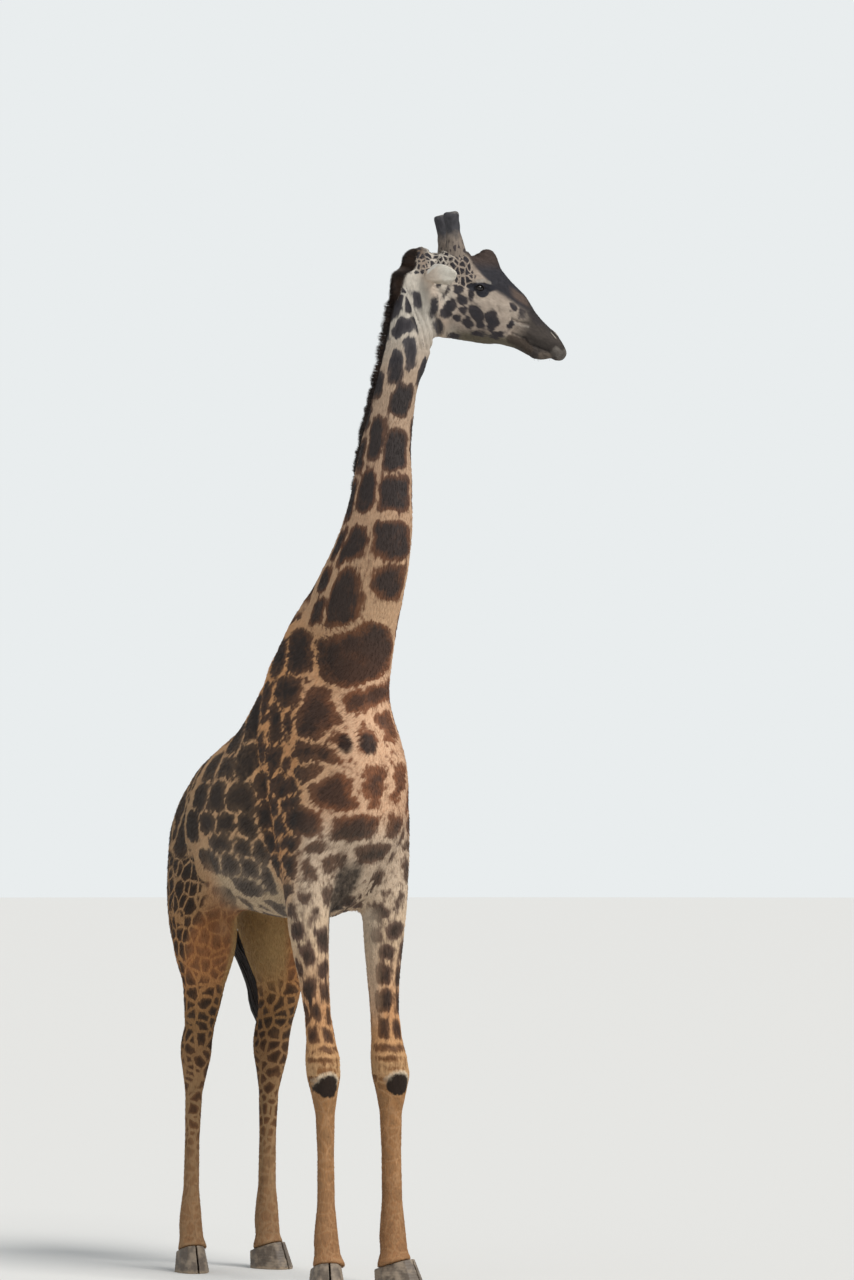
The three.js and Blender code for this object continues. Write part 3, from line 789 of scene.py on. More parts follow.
def leg_room(b):
    """Cells that shrink down each leg."""
    room = np.zeros_like(b.points)
    for index, name in enumerate(LEGS):
        front = "front" in name
        mine = (b.fore > 0 if front else b.hind > 0) & ((b.lateral > 0) == ("left" in name))
        middle = along(leg_lines[name], b.z)
        wide = np.interp(b.z, (0.3, 1.2, 2.0), (0.05, 0.065, 0.10) if front else (0.05, 0.06, 0.075))
        steps = np.linspace(0, 2.3, 60)
        tall = np.interp(steps, (0.3, 1.2, 2.0), (0.05, 0.075, 0.15) if front else (0.045, 0.055, 0.085))
        climb = np.concatenate(([0], np.cumsum(np.diff(steps) / tall[1:])))
        flat = (b.points[:, :2] - middle) / wide[:, None]
        own = np.stack((flat[:, 0], flat[:, 1], np.interp(b.z, steps, climb)), 1) + 20 * (index + 1)
        room[mine] = own[mine]
    crown = np.stack((b.forward / 0.026, b.side / 0.026, b.up / 0.036), 1) + 140
    return np.where((b.z > HEAD_FROM)[:, None], crown, room)


# %% [markdown]
# ## Patches placed one by one
# The tables hold the patches that are placed one by one. Each row is one oval: its middle, half its length
# or width, half its width or height, and its tilt in degrees where it has one. The unit is the millimetre.
# On the neck and the forelegs, places and widths round the limb are in degrees, since a tube has no other
# edge to measure from. Patches well to one side serve both sides.

# %% Patches of the face
# Forward and up from the poll, half the length and half the width, on both sides of the head.
FACE_PATCHES = [
    (242, -257, 63, 31, -58), (314, -272, 49, 32, -60), (212, -284, 38, 24, -40), (173, -232, 22, 20),
    (151, -259, 25, 18, 60), (166, -183, 30, 24, -40), (206, -155, 36, 15, -85), (158, -126, 32, 25, 60),
    (166, -85, 21, 16, -30), (190, -65, 15, 11, -45), (105, -226, 48, 29, 55), (39, -218, 52, 20, 88),
    (69, -303, 39, 21, -60), (-39, -184, 49, 21, -75), (88, -156, 28, 8, 60), (358, -338, 34, 17, -5),
    (413, -288, 23, 14, 60), (473, -228, 34, 26, 80), (421, -204, 28, 20, 75), (-14, -25, 16, 13),
    (262, -330, 34, 15, -10), (150, -345, 34, 14, -12), (447, -190, 24, 15, -30), (505, -228, 34, 20, -35),
    (395, -160, 22, 11, -25), (545, -262, 34, 20, -40), (60, -110, 20, 12, 60), (-75, -255, 50, 30, -70),
]

# %% Patches of the neck and the forelegs
# Degrees round the neck from its front, height, half the width in degrees and half the height.
NECK_PATCHES = [
    (-88, 4550, 13, 85, -25), (-50, 4465, 28, 42), (-43, 4562, 11, 34), (-106, 4445, 12, 38),
    (-26, 4340, 15, 75, 35), (-50, 4280, 21, 70, 10), (-125, 4320, 16, 60), (-100, 4190, 26, 62),
    (-7, 4115, 25, 60), (-116, 4050, 20, 75), (-57, 3945, 20, 85), (-6, 3885, 23, 85),
    (-108, 3870, 17, 72), (-60, 3700, 25, 80), (-5, 3690, 23, 75), (-111, 3670, 16, 80),
    (-56, 3450, 26, 80), (-4, 3470, 23, 70), (-106, 3450, 15, 60), (-103, 3305, 16, 50),
    (-42, 3190, 21, 140, -6), (0, 3270, 19, 68), (-93, 3150, 17, 52),
]
# The same round each foreleg.
FORELEG_PATCHES = {
    "leg_front_right": [
        (-62, 1665, 28, 44), (-80, 1765, 20, 40), (-20, 1740, 15, 40), (6, 1620, 26, 46),
        (-40, 1550, 27, 55), (8, 1480, 24, 42), (-82, 1480, 20, 42), (-56, 1395, 30, 48),
        (12, 1375, 24, 46), (-30, 1290, 30, 40), (-85, 1280, 22, 45), (20, 1265, 22, 45),
        (-58, 1180, 24, 46), (0, 1175, 26, 36), (-20, 1112, 46, 13), (-5, 1062, 56, 11),
        (-15, 1020, 44, 10),
    ],
    "leg_front_left": [
        (-35, 1750, 28, 45), (15, 1800, 24, 60), (-2, 1655, 30, 44), (-50, 1640, 15, 35),
        (-20, 1560, 25, 38), (35, 1570, 24, 46), (-25, 1458, 28, 46), (30, 1440, 22, 46),
        (-28, 1335, 30, 48), (32, 1320, 24, 50), (-36, 1205, 22, 42), (14, 1200, 22, 40),
        (-20, 1112, 46, 13), (-5, 1062, 56, 11), (-15, 1020, 44, 10),
    ],
}
BEHIND = (150, -0.05)  # each foreleg patch has a second one, turned so far round the leg and lower
NECK_RADIUS, LEG_RADIUS = 0.17, 0.085

# %% Patches of the trunk
# The way round the trunk from the middle of the chest, height, half the width and half the height.
TRUNK_PATCHES = [
    (-60, 2940, 88, 125), (-240, 2965, 70, 85), (-400, 2930, 55, 80), (-290, 2775, 85, 65),
    (-165, 2680, 66, 100), (-5, 2745, 75, 50, 40), (25, 2615, 32, 66), (-88, 2530, 24, 58, 6),
    (-36, 2526, 29, 72), (-150, 2485, 88, 32, -22), (-190, 2385, 42, 40, 20), (-118, 2290, 60, 82),
    (-26, 2355, 36, 124), (56, 2350, 38, 126), (-65, 2145, 68, 62), (45, 2155, 42, 60),
    (100, 2110, 26, 55), (20, 2035, 48, 36), (90, 2000, 30, 38), (-190, 2165, 66, 62, 25),
    (-250, 2060, 36, 33), (-165, 2055, 33, 30), (-250, 1955, 22, 44), (-180, 1930, 22, 56),
    (-122, 1960, 19, 44), (120, 1930, 22, 44), (60, 1900, 16, 40), (-265, 1845, 20, 42),
    (-195, 1800, 22, 50), (-135, 1840, 16, 40), (-305, 2335, 74, 46, 12), (-360, 2240, 46, 44),
    (-285, 2258, 36, 26, 20), (-335, 2150, 30, 42), (-345, 2050, 26, 38), (-390, 1965, 30, 44, 15),
    (-345, 1930, 18, 40), (-372, 2620, 52, 84, 10), (-288, 2605, 22, 56), (-300, 2430, 26, 36),
    (-362, 2460, 58, 62), (-455, 2710, 34, 90), (-455, 2520, 30, 72), (-462, 2345, 40, 72),
    (-462, 2195, 46, 66), (-430, 2080, 52, 40), (-580, 2650, 68, 90), (-590, 2450, 72, 80),
    (-615, 2285, 92, 66), (-580, 2155, 62, 44), (-530, 2030, 44, 40), (-780, 2560, 92, 66),
    (-790, 2425, 86, 50), (-830, 2285, 88, 70), (-740, 2165, 66, 42), (-910, 2160, 78, 44),
    (-790, 2070, 84, 36), (-645, 2050, 48, 36), (-920, 1980, 70, 36), (-770, 1965, 58, 42),
    (-630, 1950, 52, 44), (-700, 1865, 58, 36), (-540, 1900, 36, 44), (-1000, 2420, 85, 56),
    (-1020, 2290, 75, 60), (-1080, 2150, 70, 55),
]
FRONT_AXIS, FRONT_RADIUS = 0.05, 0.35  # the chest is about this round

# %% How far inside a patch a place lies
NO_PATCH = -9.0  # far outside every patch
FACE_START, FACE_GROWTH = -0.02, 0.002


def oval_gap(along_axis, across_axis, half_long, half_wide, square=2.0):
    """About the distance to the edge of an oval, positive inside; a higher power makes it squarer."""
    far = (abs(along_axis / half_long) ** square + abs(across_axis / half_wide) ** square) ** (1 / square)
    return (1 - far) * np.minimum(half_long, half_wide)


def nearest_two(gaps, start):
    """The largest gap and the next one for each point, from the gaps to many patches."""
    nearest = start
    next_one = start.copy()
    for gap in gaps:
        next_one = np.maximum(next_one, np.minimum(gap, nearest))
        nearest = np.maximum(nearest, gap)
    return nearest, next_one


def tilt_of(row):
    """A row's last value, where it has a fifth one."""
    return row[4] if len(row) == 5 else 0


def face_gap(b):
    """Distance inside the nearest patch of the face, negative between patches."""
    gaps = []
    for row in FACE_PATCHES:
        forward, up, half_long, half_wide = (value / 1000 for value in row[:4])
        run, across = turned_by(tilt_of(row), b.forward - forward, b.up - up)
        gaps.append(oval_gap(run, across, half_long, half_wide, square=2.6))
    nearest, next_one = nearest_two(gaps, np.full(len(b.x), FACE_START))
    return np.minimum((nearest - next_one) / 2, nearest + FACE_GROWTH)


def round_trunk(b):
    """How far round the trunk a place lies: round the front of the chest, then back along the side."""
    ahead = b.x - FRONT_AXIS
    round_front = FRONT_RADIUS * np.arctan2(abs(b.lateral), ahead)
    back = FRONT_RADIUS * math.pi / 2 - ahead
    return np.sign(b.lateral) * np.where(ahead > 0, round_front, back)


def round_tube(b, line, radius):
    """How far round a neck or leg a place lies from its front, as if it were a tube of this radius."""
    middle = along(line, b.z)
    return radius * np.arctan2(b.y - middle[:, 1], b.x - middle[:, 0])


# %% The placed patches round each part
NO_WRAP = 9.0  # longer than any way round, so nothing comes round again


def with_twins(patches, mirrored_from):
    """The patches, and those that lie well to one side also mirrored to the other."""
    twins = [(-m, h, w, t, -tilt) for m, h, w, t, tilt in patches if m < mirrored_from]
    return patches + twins


def from_degrees(rows):
    """Patches of a tube: degrees stay degrees, heights become metres."""
    return [(row[0], row[1] / 1000, row[2], row[3] / 1000, tilt_of(row)) for row in rows]


def in_metres(patches, radius):
    """Patches whose degrees round a tube of this radius become metres."""
    arc = radius * math.pi / 180
    return [(m * arc, h, w * arc, t, tilt) for m, h, w, t, tilt in patches]


def placed_rooms(b):
    """For each room with placed patches: places round it, its girth, the patches, and where it ends."""
    neck_patches = in_metres(with_twins(from_degrees(NECK_PATCHES), -30), NECK_RADIUS)
    trunk_patches = [(*(value / 1000 for value in row[:4]), tilt_of(row)) for row in TRUNK_PATCHES]
    yield round_tube(b, neck_line, NECK_RADIUS), NO_WRAP, neck_patches, rise(3.0, 2.9, b.z)
    yield round_trunk(b), NO_WRAP, with_twins(trunk_patches, -0.1), rise(3.1, 3.2, b.z)
    for name, rows in FORELEG_PATCHES.items():
        own = (b.fore > 0) & ((b.lateral > 0) == ("left" in name))
        patches = from_degrees(rows)
        behind = [(m + BEHIND[0], h + BEHIND[1], w, t, tilt) for m, h, w, t, tilt in patches]
        place = round_tube(b, leg_lines[name], LEG_RADIUS)
        yield place, 2 * math.pi * LEG_RADIUS, in_metres(patches + behind, LEG_RADIUS), 1.0 * ~own


def gaps_to_placed(b):
    """The distance inside each placed patch in turn. The edges sway and dip in slow waves."""
    for place, girth, patches, outside in placed_rooms(b):
        lively = 1 - (0.45 + 0.3 * b.low_down)  # the legs' patches are calmer
        sway = 0.013 * np.sin(31 * b.z + 17 * place) + 0.008 * np.sin(67 * b.z - 41 * place + 1.3)
        dip = 0.012 * np.sin(29 * place - 13 * b.z + 2) + 0.008 * np.sin(59 * place + 47 * b.z)
        for middle, height, half_wide, half_tall, tilt in patches:
            away = (place + lively * sway - middle + girth / 2) % girth - girth / 2
            run, climb = turned_by(tilt, away, b.z + lively * dip - height)
            yield oval_gap(run, climb, half_wide, half_tall, square=3.2) - outside


def placed_gaps(b):
    """Distances inside the nearest and the next placed patch, negative outside."""
    return nearest_two(gaps_to_placed(b), np.full(len(b.x), NO_PATCH))


# %% [markdown]
# ## The colours of each part
# Each patch has a dark middle and a warmer rim, on a pale ground. All three shift over the animal: nearly
# black on the back, reddish on the chest, grey on the neck and the face, pale inside the legs, and tan
# with faint spots down the cannons. The colours are set along each part by height or by side, then mixed
# by the same shares as the shapes.

# %% How colours are mixed
ALBEDO = 0.80  # sunlit fur looks lighter than it is


def shades(values, stops, codes):
    """Colours along a rising row of values."""
    table = np.array([linear(code) for code in codes.split()]) * ALBEDO
    return np.stack([np.interp(values, stops, table[:, k]) for k in range(3)], 1)


def mixed(share, first, second):
    """From the first colours to the second by a share per point."""
    return first + (second - first) * np.asarray(share)[:, None]


def only(code):
    """One colour as the coat's paint."""
    return np.array(linear(code)) * ALBEDO


# %% Tables of colours
# Each row of codes runs up the part, one code for each height in its stops.
PARTS = ("core", "rim", "ground")
NECK_STOPS = (2.7, 3.1, 3.7, 4.25, 4.48)
NECK_SHADES = {
    "core": "4C382E 443731 3E3634 3A3534 37353A",
    "rim": "89593B 7C5339 6F4D3B 665042 57504A",
    "ground": "D6B190 C9A583 BC9A7E B29C87 C8C0B4",
}
FORE_STOPS = (0.25, 0.86, 1.02, 1.14, 1.30, 1.60, 2.0)
FORE_SHADES = {
    "core": "8E6644 95704A 6A4529 4E3526 3E2F27 42352D 48403A",
    "rim": "9A683F A4713F 8A5F38 7C563A 6B4B35 70574A 6F6054",
    "ground": "A67F5A AE855E C09A70 C99A6C C8966A D0B596 D0BEA8",
}
HIND_STOPS = (0.25, 0.80, 1.05, 1.22, 1.40, 1.65, 1.9, 2.2)
HIND_SHADES = {
    "core": "8A5C38 5A3E29 46301F 37281D 452F1C 3A2A1E 33281F 33281F",
    "rim": "96683F 80593A 6A4A30 57402B 66452B 573D2A 4C3828 453528",
    "ground": "A2805E A5845F 9A7550 967048 AF7E50 B4875A AF8B66 B29270",
}
CHEST = {"core": "573E32", "rim": "8F5D40", "ground": "DBB392"}
LOW_CHEST = {"core": "4B423A", "rim": "6B584A", "ground": "C9B6A0"}
BACK = {"core": "2B2624", "rim": "4A372C", "ground": "CB9562"}
FLANK = {"core": "3F342D", "rim": "64503F", "ground": "CFA67E"}
BELLY = {"core": "544A42", "rim": "77685A", "ground": "BAA488"}
SHOULDER = {"core": "342D2A", "rim": "5C4435", "ground": "CE9A6B"}
THIGH_FRONT = {"core": "5E3A27", "rim": "8A5535", "ground": "AD7748"}

# %% Mix the colours over the body
def chest_front(b):
    """The front of the chest."""
    return rise(0.05, 0.65, b.outwards[:, 0]) * rise(0.22, 0.42, b.x)


def thigh_front(b):
    """The reddish front of each thigh."""
    edge = np.interp(b.z, (1.45, 1.75, 2.2), (-0.57, -0.44, -0.35))
    front = rise(-0.06, 0.02, b.x - edge) * rise(1.35, 1.5, b.z) * rise(2.05, 1.85, b.z)
    return front * rise(-0.30, -0.38, b.x)


def palette(b, part):
    """The colours of one part of the pattern over the whole skin."""
    trunk = np.tile(only(FLANK[part]), (len(b.x), 1))
    trunk = mixed(rise(2.15, 1.85, b.z), trunk, only(BELLY[part]))
    trunk = mixed(rise(2.50, 2.85, b.z + 0.25 * b.x), trunk, only(BACK[part]))
    shoulder = rise(0.0, 0.12, b.x - 0.12 * (2.5 - b.z)) * rise(0.55, 0.35, b.x)
    trunk = mixed(shoulder, trunk, only(SHOULDER[part]))
    chest = chest_front(b)
    trunk = mixed(chest, trunk, only(CHEST[part]))
    trunk = mixed(0.8 * chest * rise(2.24, 2.06, b.z), trunk, only(LOW_CHEST[part]))
    total = mixed(b.neck, trunk, shades(b.z, NECK_STOPS, NECK_SHADES[part]))
    total = mixed(b.fore, total, shades(b.z, FORE_STOPS, FORE_SHADES[part]))
    haunch = rise(-0.30, -0.50, b.x) * rise(2.5, 2.2, b.z)
    hind = shades(b.z, HIND_STOPS, HIND_SHADES[part])
    hind = mixed(thigh_front(b), hind, only(THIGH_FRONT[part]))
    return mixed(np.maximum(b.hind, haunch * (b.z > 1.6)), total, hind)


tones = {part: palette(b, part) for part in PARTS}

# Inner sides of the legs are pale and plain.
inward = -b.outwards[:, 1] * np.sign(b.lateral)
inner_fore = rise(0.60, 0.98, inward) * b.fore * rise(1.15, 1.35, b.z) * (0.45 + 0.55 * rise(1.6, 1.8, b.z))
inner_hind = rise(0.25, 0.75, inward) * rise(2.05, 1.8, b.z) * rise(1.25, 1.5, b.z)
inner_hind *= (b.x < 0) * (b.x > TAIL_FROM)
tones["ground"] = mixed(inner_fore, tones["ground"], only("DCCBB6"))
tones["ground"] = mixed(inner_hind, tones["ground"], only("B08F60"))

# %% Colours of the head
HEAD_TOP = ((0.0, 0.20, 0.27, 0.33, 0.38, 0.45, 0.60), (0.07, 0.03, -0.07, -0.135, -0.16, -0.20, -0.27))
NOSE_TOP = ((0.5, 0.6, 0.7), (-0.22, -0.28, -0.34))  # forward, and up from the poll, as above

cheek_tone = shades(b.up + 0.35 * b.forward, (-0.33, -0.22, -0.08, 0.02), "958C82 AB9B8D B4A698 A39588")
white = rise(0.16, 0.06, b.forward) * rise(-0.30, -0.20, b.up)
throat = rise(-0.27, -0.35, b.up) * rise(0.2, 0.08, b.forward)
beneath_jaw = rise(-0.300, -0.342, b.up + 0.10 * (b.forward - 0.2)) * rise(0.12, 0.2, b.forward)
forehead = rise(-0.02, 0.012, b.up - np.interp(b.forward, *HEAD_TOP)) * rise(0.14, 0.24, b.forward)
stripe = rise(0.036, 0.012, abs(b.up + 0.165 + 0.50 * (b.forward - 0.47))) * rise(0.39, 0.44, b.forward)
muzzle = rise(0.42, 0.52, b.forward - 0.25 * (b.up + 0.3))
nose_top = rise(-0.05, 0.0, b.up - np.interp(b.forward, *NOSE_TOP))
nape = rise(0.05, -0.02, b.forward) * rise(-0.09, -0.04, b.up) * rise(0.10, 0.06, abs(b.side))
HEAD_LAYERS = [
    (white, "D3CABD"),
    (throat, "B3AB9D"),
    (beneath_jaw, "655D4E"),
    (forehead, "353439"),
    (forehead * rise(-0.05, 0.02, b.up), "4A3E39"),
    (0.55 * stripe * rise(0.57, 0.52, b.forward), "7A6658"),
    (muzzle * 0.95 * (1 - stripe), "413B38"),
    (nose_top * rise(0.48, 0.53, b.forward), "393534"),
    (nape, "3B3432"),
    (b.ear, "EFE9DD"),
]
head_ground = cheek_tone
for share, code in HEAD_LAYERS:
    head_ground = mixed(share, head_ground, only(code))
high_neck = rise(4.1, 4.4, b.z)
tones["core"] = mixed(high_neck, tones["core"], only("3A373B"))
tones["rim"] = mixed(high_neck, tones["rim"], only("545052"))
tones["ground"] = mixed(b.head, tones["ground"], head_ground)
tones["core"] = mixed(b.head, tones["core"], only("353338"))
tones["rim"] = mixed(b.head, tones["rim"], only("403A3C"))

# %% How details are painted
paint = np.zeros((count, 4))


def brush(amount, code):
    """Lays one more colour over the skin's own pattern."""
    amount = np.clip(amount, 0, 1)
    keep = paint[:, 3] * (1 - amount)
    total = np.maximum(keep + amount, 1e-6)
    paint[:, :3] = (paint[:, :3] * keep[:, None] + only(code) * amount[:, None]) / total[:, None]
    paint[:, 3] = keep + amount


def path_gap(path):
    """The distance of the skin, seen from the side, to a path on the head."""
    return distance_to_path(np.stack((b.forward, b.up), 1), path)


def stroke(path, strength, outer, inner, code, where):
    """A stroke of colour along a path, gone at the outer distance and full at the inner one."""
    brush(strength * rise(outer, inner, path_gap(path)) * where, code)


# %% Painted details of the head
BROW = [(0.235, -0.096), (0.27, -0.090), (0.30, -0.100)]
EAR_SHADOW = [(0.055, -0.135), (0.085, -0.150)]
EAR_FOLD_SHADE = [(0.045, -0.070), (0.085, -0.084), (0.125, -0.093)]
MUZZLE_STROKES = [
    # painted shade along the groove of the lips
    (MOUTH, 0.55, 0.012, 0.002, "322D2B"),
    ([(0.42, -0.352), (0.49, -0.375), (0.515, -0.40)], 0.8, 0.03, 0.012, "4A4038"),  # under the mouth
    # painted highlights on the upper lip and the chin
    ([(0.64, -0.40), (0.67, -0.43), (0.69, -0.41)], 0.5, 0.03, 0.01, "8F8880"),  # the upper lip
    ([(0.575, -0.425), (0.61, -0.435)], 0.45, 0.03, 0.01, "8B7D6E"),  # the chin
    # painted shade in a fold over the cheek, and a painted highlight on the ridge below it
    ([(0.415, -0.262), (0.45, -0.274), (0.50, -0.281)], 0.45, 0.011, 0.003, "3D3633"),  # a fold
    ([(0.43, -0.281), (0.46, -0.291), (0.50, -0.297)], 0.5, 0.010, 0.003, "A59D93"),  # its ridge
]

on_face = b.head * (1 - b.ear)
eye_dark = oval_gap(b.forward - 0.263, b.up + 0.124 + 0.03 * (b.forward - 0.26), 0.062, 0.020)
eye_dark = np.maximum(eye_dark, oval_gap(b.forward - 0.262, b.up + 0.142, 0.030, 0.026))
brush(rise(-0.010, 0.004, eye_dark) * on_face, "2F2F36")
stroke(BROW, 0.5, 0.012, 0.004, "B3ADA4", on_face)
brush(rise(0.004, 0.0, slit_gap), "17161A")
for details in MUZZLE_STROKES:
    stroke(*details, on_face)
brush(0.7 * rise(0.45, 0.9, rim) * on_face, "A89F93")
# Painted shade: the nostril's hollow is darkened nearly to black.
brush(rise(0.25, 0.6, hollow), "161416")
# Painted light, in part: the ear is made paler where it faces forward, over its own pale inner side.
ear_inner_and_lit = b.ear * rise(-0.2, 0.4, b.outwards @ (0.8 * head_ahead + np.array((0, 0, 0.1))))
brush(ear_inner_and_lit * 0.6, "FBF8F0")
# Painted shade over the ear's lower part.
ear_low_shade = b.ear * rise(-0.088, -0.112, b.up)
brush(0.55 * ear_low_shade, "A3937E")
stroke(EAR_SHADOW, 0.5, 0.02, 0.006, "574E47", on_face)
# Painted shade along the ear's fold.
stroke(EAR_FOLD_SHADE, 0.35, 0.02, 0.005, "B5A894", b.ear)
# Painted shade along the throat's wrinkles.
for wrinkle in wrinkles:
    stroke(wrinkle, 0.35, 0.012, 0.004, "8A7F72", (b.z > HEAD_FROM) * (1 - b.ear))

# %% Painted details of the body
# Calluses at the foot of each knee, with a pale rim above.
for name in FORELEGS:
    knee = along(leg_lines[name], [0.95])[0]
    across = b.y - knee[1] + (0.020 if "right" in name else 0.0)
    in_front = (b.x > knee[0]) & (abs(across) < 0.12) & (b.z > 0.8) & (b.z < 1.2)
    callus = oval_gap(b.z - 0.945, across, 0.052, 0.050)
    brush(rise(-0.026, -0.010, callus) * in_front * rise(0.93, 0.99, b.z) * 0.6, "E2CFB4")
    brush(rise(-0.005, 0.003, callus) * in_front, "2B1F17")
mane_middle = along(mane_line, b.z)
beside_mane = np.hypot(b.x - mane_middle[:, 0], b.y - mane_middle[:, 1])
low_mane, high_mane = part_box("mane")
under_mane = rise(0.050, 0.030, beside_mane) * (b.z > low_mane.z) * (b.z < high_mane.z + 0.02)
brush(under_mane, "2A2220")
back_of_poll = rise(0.01, -0.05, b.forward + 0.25 * b.up) * rise(-0.22, -0.12, b.up)
back_of_poll *= rise(0.07, 0.035, abs(b.side))
brush(0.9 * back_of_poll * (b.z > 4.4), "2E2725")

# Two dark almonds lie side by side on the chest.
almonds = np.full(count, -0.05)
for middle, half_wide in ((-0.088, 0.022), (-0.036, 0.027)):
    almonds = np.maximum(almonds, oval_gap(round_trunk(b) - middle, b.z - 2.528, half_wide, 0.062))
brush(0.8 * rise(-0.004, 0.012, almonds) * (b.z < 2.7), "392A24")

# Painted shade: between the forelegs the brisket is darkened where shade falls between the legs.
brisket = rise(2.06, 1.92, b.z) * rise(0.075, 0.035, abs(b.lateral + 0.085))
brisket *= rise(0.10, 0.25, b.x) * (b.z > 1.6)
brush(0.72 * brisket, "473E38")
print("painted share", round(float((paint[:, 3] > 0.5).mean()), 3))

# %% Which room draws the pattern where
SPOTS_ROOM = np.array((0, 0, 1.0))  # the shares of neck room, trunk room and leg room
FENCE = 0.06  # pale ground kept round the placed patches
CLEAR = 0.3  # no patch is placed on the belly, the cannons, the crown or the face's own field

neck_share = b.neck * rise(2.75, 3.15, b.z)
spot_share = np.maximum(b.low_down, 0) * (1 - b.tail)
haunch = rise(-0.42, -0.55, b.x) * rise(2.45, 2.1, b.z) * (b.x > TAIL_FROM)
spot_share = np.maximum(spot_share, haunch * (b.z < 2.0))
face_share = rise(-0.115, -0.085, b.forward + 0.34 * (b.up + 0.1)) * (b.z > 4.25)
nearest, next_one = placed_gaps(b)
nearest -= CLEAR * np.maximum(rise(-0.65, -0.8, b.outwards[:, 2]) * (b.z < 2.2), rise(1.0, 0.97, b.z))
nearest -= CLEAR * np.maximum(rise(4.6, 4.66, b.z), face_share)
placed_share = 1.0 * (nearest > -FENCE)
side_share = rise(0.25, 0.10, b.x) * (1 - b.low_down)
front_share = chest_front(b) * (1 - b.neck) * (1 - b.low_down)
growth = 0.024 + 0.004 * b.neck + 0.006 * side_share - 0.001 * b.low_down + 0.008 * front_share
growth += 0.008 * rise(2.18, 2.08, b.z) * rise(1.62, 1.75, b.z) * (b.x > 0.15)
placed = np.minimum((nearest - next_one) / 2, nearest + growth)
marks = np.where(face_share > 0.5, face_gap(b), placed)
fence = np.minimum(abs(nearest + FENCE), 1.0)
weave = np.stack((neck_share, 1 - neck_share, np.zeros(count)), 1)
weave = mixed(spot_share, weave, SPOTS_ROOM)
crown = rise(-0.095, -0.065, b.up + 0.25 * b.forward) * rise(0.25, 0.20, b.forward)
crown = crown * face_share * (1 - b.ear)
weave *= (1 - np.maximum(face_share, placed_share))[:, None]
weave = mixed(crown, weave, SPOTS_ROOM)

# %% The pale lines and the strength of the pattern
def towards(values, share, goal):
    """Values moved towards a goal by a share per point."""
    return values + (goal - values) * share


# Half the width of the pale lines as a share of a cell, their softness, and the strength of the pattern.
line = towards(np.full(count, 0.050), neck_share, 0.085)
chest = chest_front(b) * (1 - neck_share)
line += 0.02 * chest + 0.05 * rise(2.1, 1.85, b.z) * (1 - spot_share)
line += 0.045 * b.fore * rise(1.2, 1.6, b.z) + b.hind * (0.02 + 0.05 * rise(1.6, 1.2, b.z))
line = line * (1 - face_share) + (0.02 + 0.085 * crown) * face_share
line = np.where(placed_share > 0, 0.05 + 0.03 * np.maximum(np.maximum(chest, neck_share), b.low_down), line)
softly = 0.026 + 0.02 * np.maximum(neck_share, chest) + 0.02 * rise(2.3, 2.0, b.z) * (1 - haunch)
softly = softly * (1 - face_share) + 0.05 * face_share
amount = np.ones(count)
amount *= 1 - 0.45 * b.fore * rise(1.0, 0.90, b.z)  # faint spots on the cannons
amount *= 1 - 0.6 * b.hind * rise(0.74, 0.50, b.z)
amount *= 1 - 0.4 * thigh_front(b)
amount *= 1 - 0.85 * np.maximum(inner_fore, inner_hind)
amount *= 1 - 0.9 * np.maximum(forehead, muzzle * 0.6) * b.head
amount *= 1 - b.ear
habit = np.stack((line, softly, np.clip(amount, 0, 1)), 1)
cracks = (1 - neck_share) * (1 - chest) * rise(2.1, 2.4, b.z) * (1 - haunch)

# %% Store everything on the skin
def store(mesh, name, values, kind="FLOAT_VECTOR"):
    """One named value per vertex."""
    attribute = mesh.attributes.new(name, kind, "POINT")
    field = {"FLOAT": "value", "FLOAT_COLOR": "color"}.get(kind, "vector")
    attribute.data.foreach_set(field, np.asarray(values, np.float32).ravel())


on_skin = {
    "place": b.points,
    "strand": strands(b),
    "lie": spread(hair_lie(b), 3),
    "lattice": neck_room(b),
    "cells": trunk_room(b),
    "spots": leg_room(b),
    "weave": weave,
    "habit": habit,
}
for name, values in on_skin.items():
    store(skin_mesh, name, values)
for name, values in {"marks": marks, "fence": fence, "cracks": cracks}.items():
    store(skin_mesh, name, values, "FLOAT")
for part in PARTS:
    with_alpha = np.pad(tones[part], ((0, 0), (0, 1)), constant_values=1)
    store(skin_mesh, part, with_alpha, "FLOAT_COLOR")
store(skin_mesh, "paint", paint, "FLOAT_COLOR")
print("attributes", [a.name for a in skin_mesh.attributes if not a.name.startswith(".")])

# %% [markdown]
# ## The markings, as one group of nodes
# The group is shared by the skin and by the hair on it. It bends the rooms a little with noise, so that
# no border is straight, and draws hair-fine cracks from the borders into the patches, as the real coat
# has on the shoulders. A tuft keeps the values of its root, so it takes one colour and follows the skin.

# %% Pattern helpers
def attribute_of(tree, name, output="Vector"):
    """A value kept on the mesh under this name."""
    return add_node(tree, "ShaderNodeAttribute", attribute_name=name).outputs[output]


def vector_sum(tree, *values):
    """The sum of any number of vectors."""
    total = values[0]
    for value in values[1:]:
        total = made(tree, "ShaderNodeVectorMath", {0: total, 1: value}, operation="ADD")
    return total


def scaled(tree, vector, factor):
    """A vector times a number, a socket or a vector of three numbers."""
    values = (factor, factor, factor) if isinstance(factor, (int, float)) else factor
    return made(tree, "ShaderNodeVectorMath", {0: vector, 1: values}, operation="MULTIPLY")


def toned(tree, colour, tone):
    """A colour made lighter or darker."""
    return made(tree, "ShaderNodeVectorMath", {0: colour, "Scale": tone}, operation="SCALE")


def noise(tree, vector, scale, detail, output="Fac"):
    """Smooth noise over a vector."""
    node = add_node(tree, "ShaderNodeTexNoise", {"Vector": vector, "Scale": scale, "Detail": detail})
    return node.outputs[output]


def centred(tree, vector, scale, detail, size):
    """Noise as a vector about zero, of this size."""
    colour = noise(tree, vector, scale, detail, "Color")
    moved = vector_sum(tree, colour, (-0.5, -0.5, -0.5))
    return scaled(tree, moved, 2.0 * size)


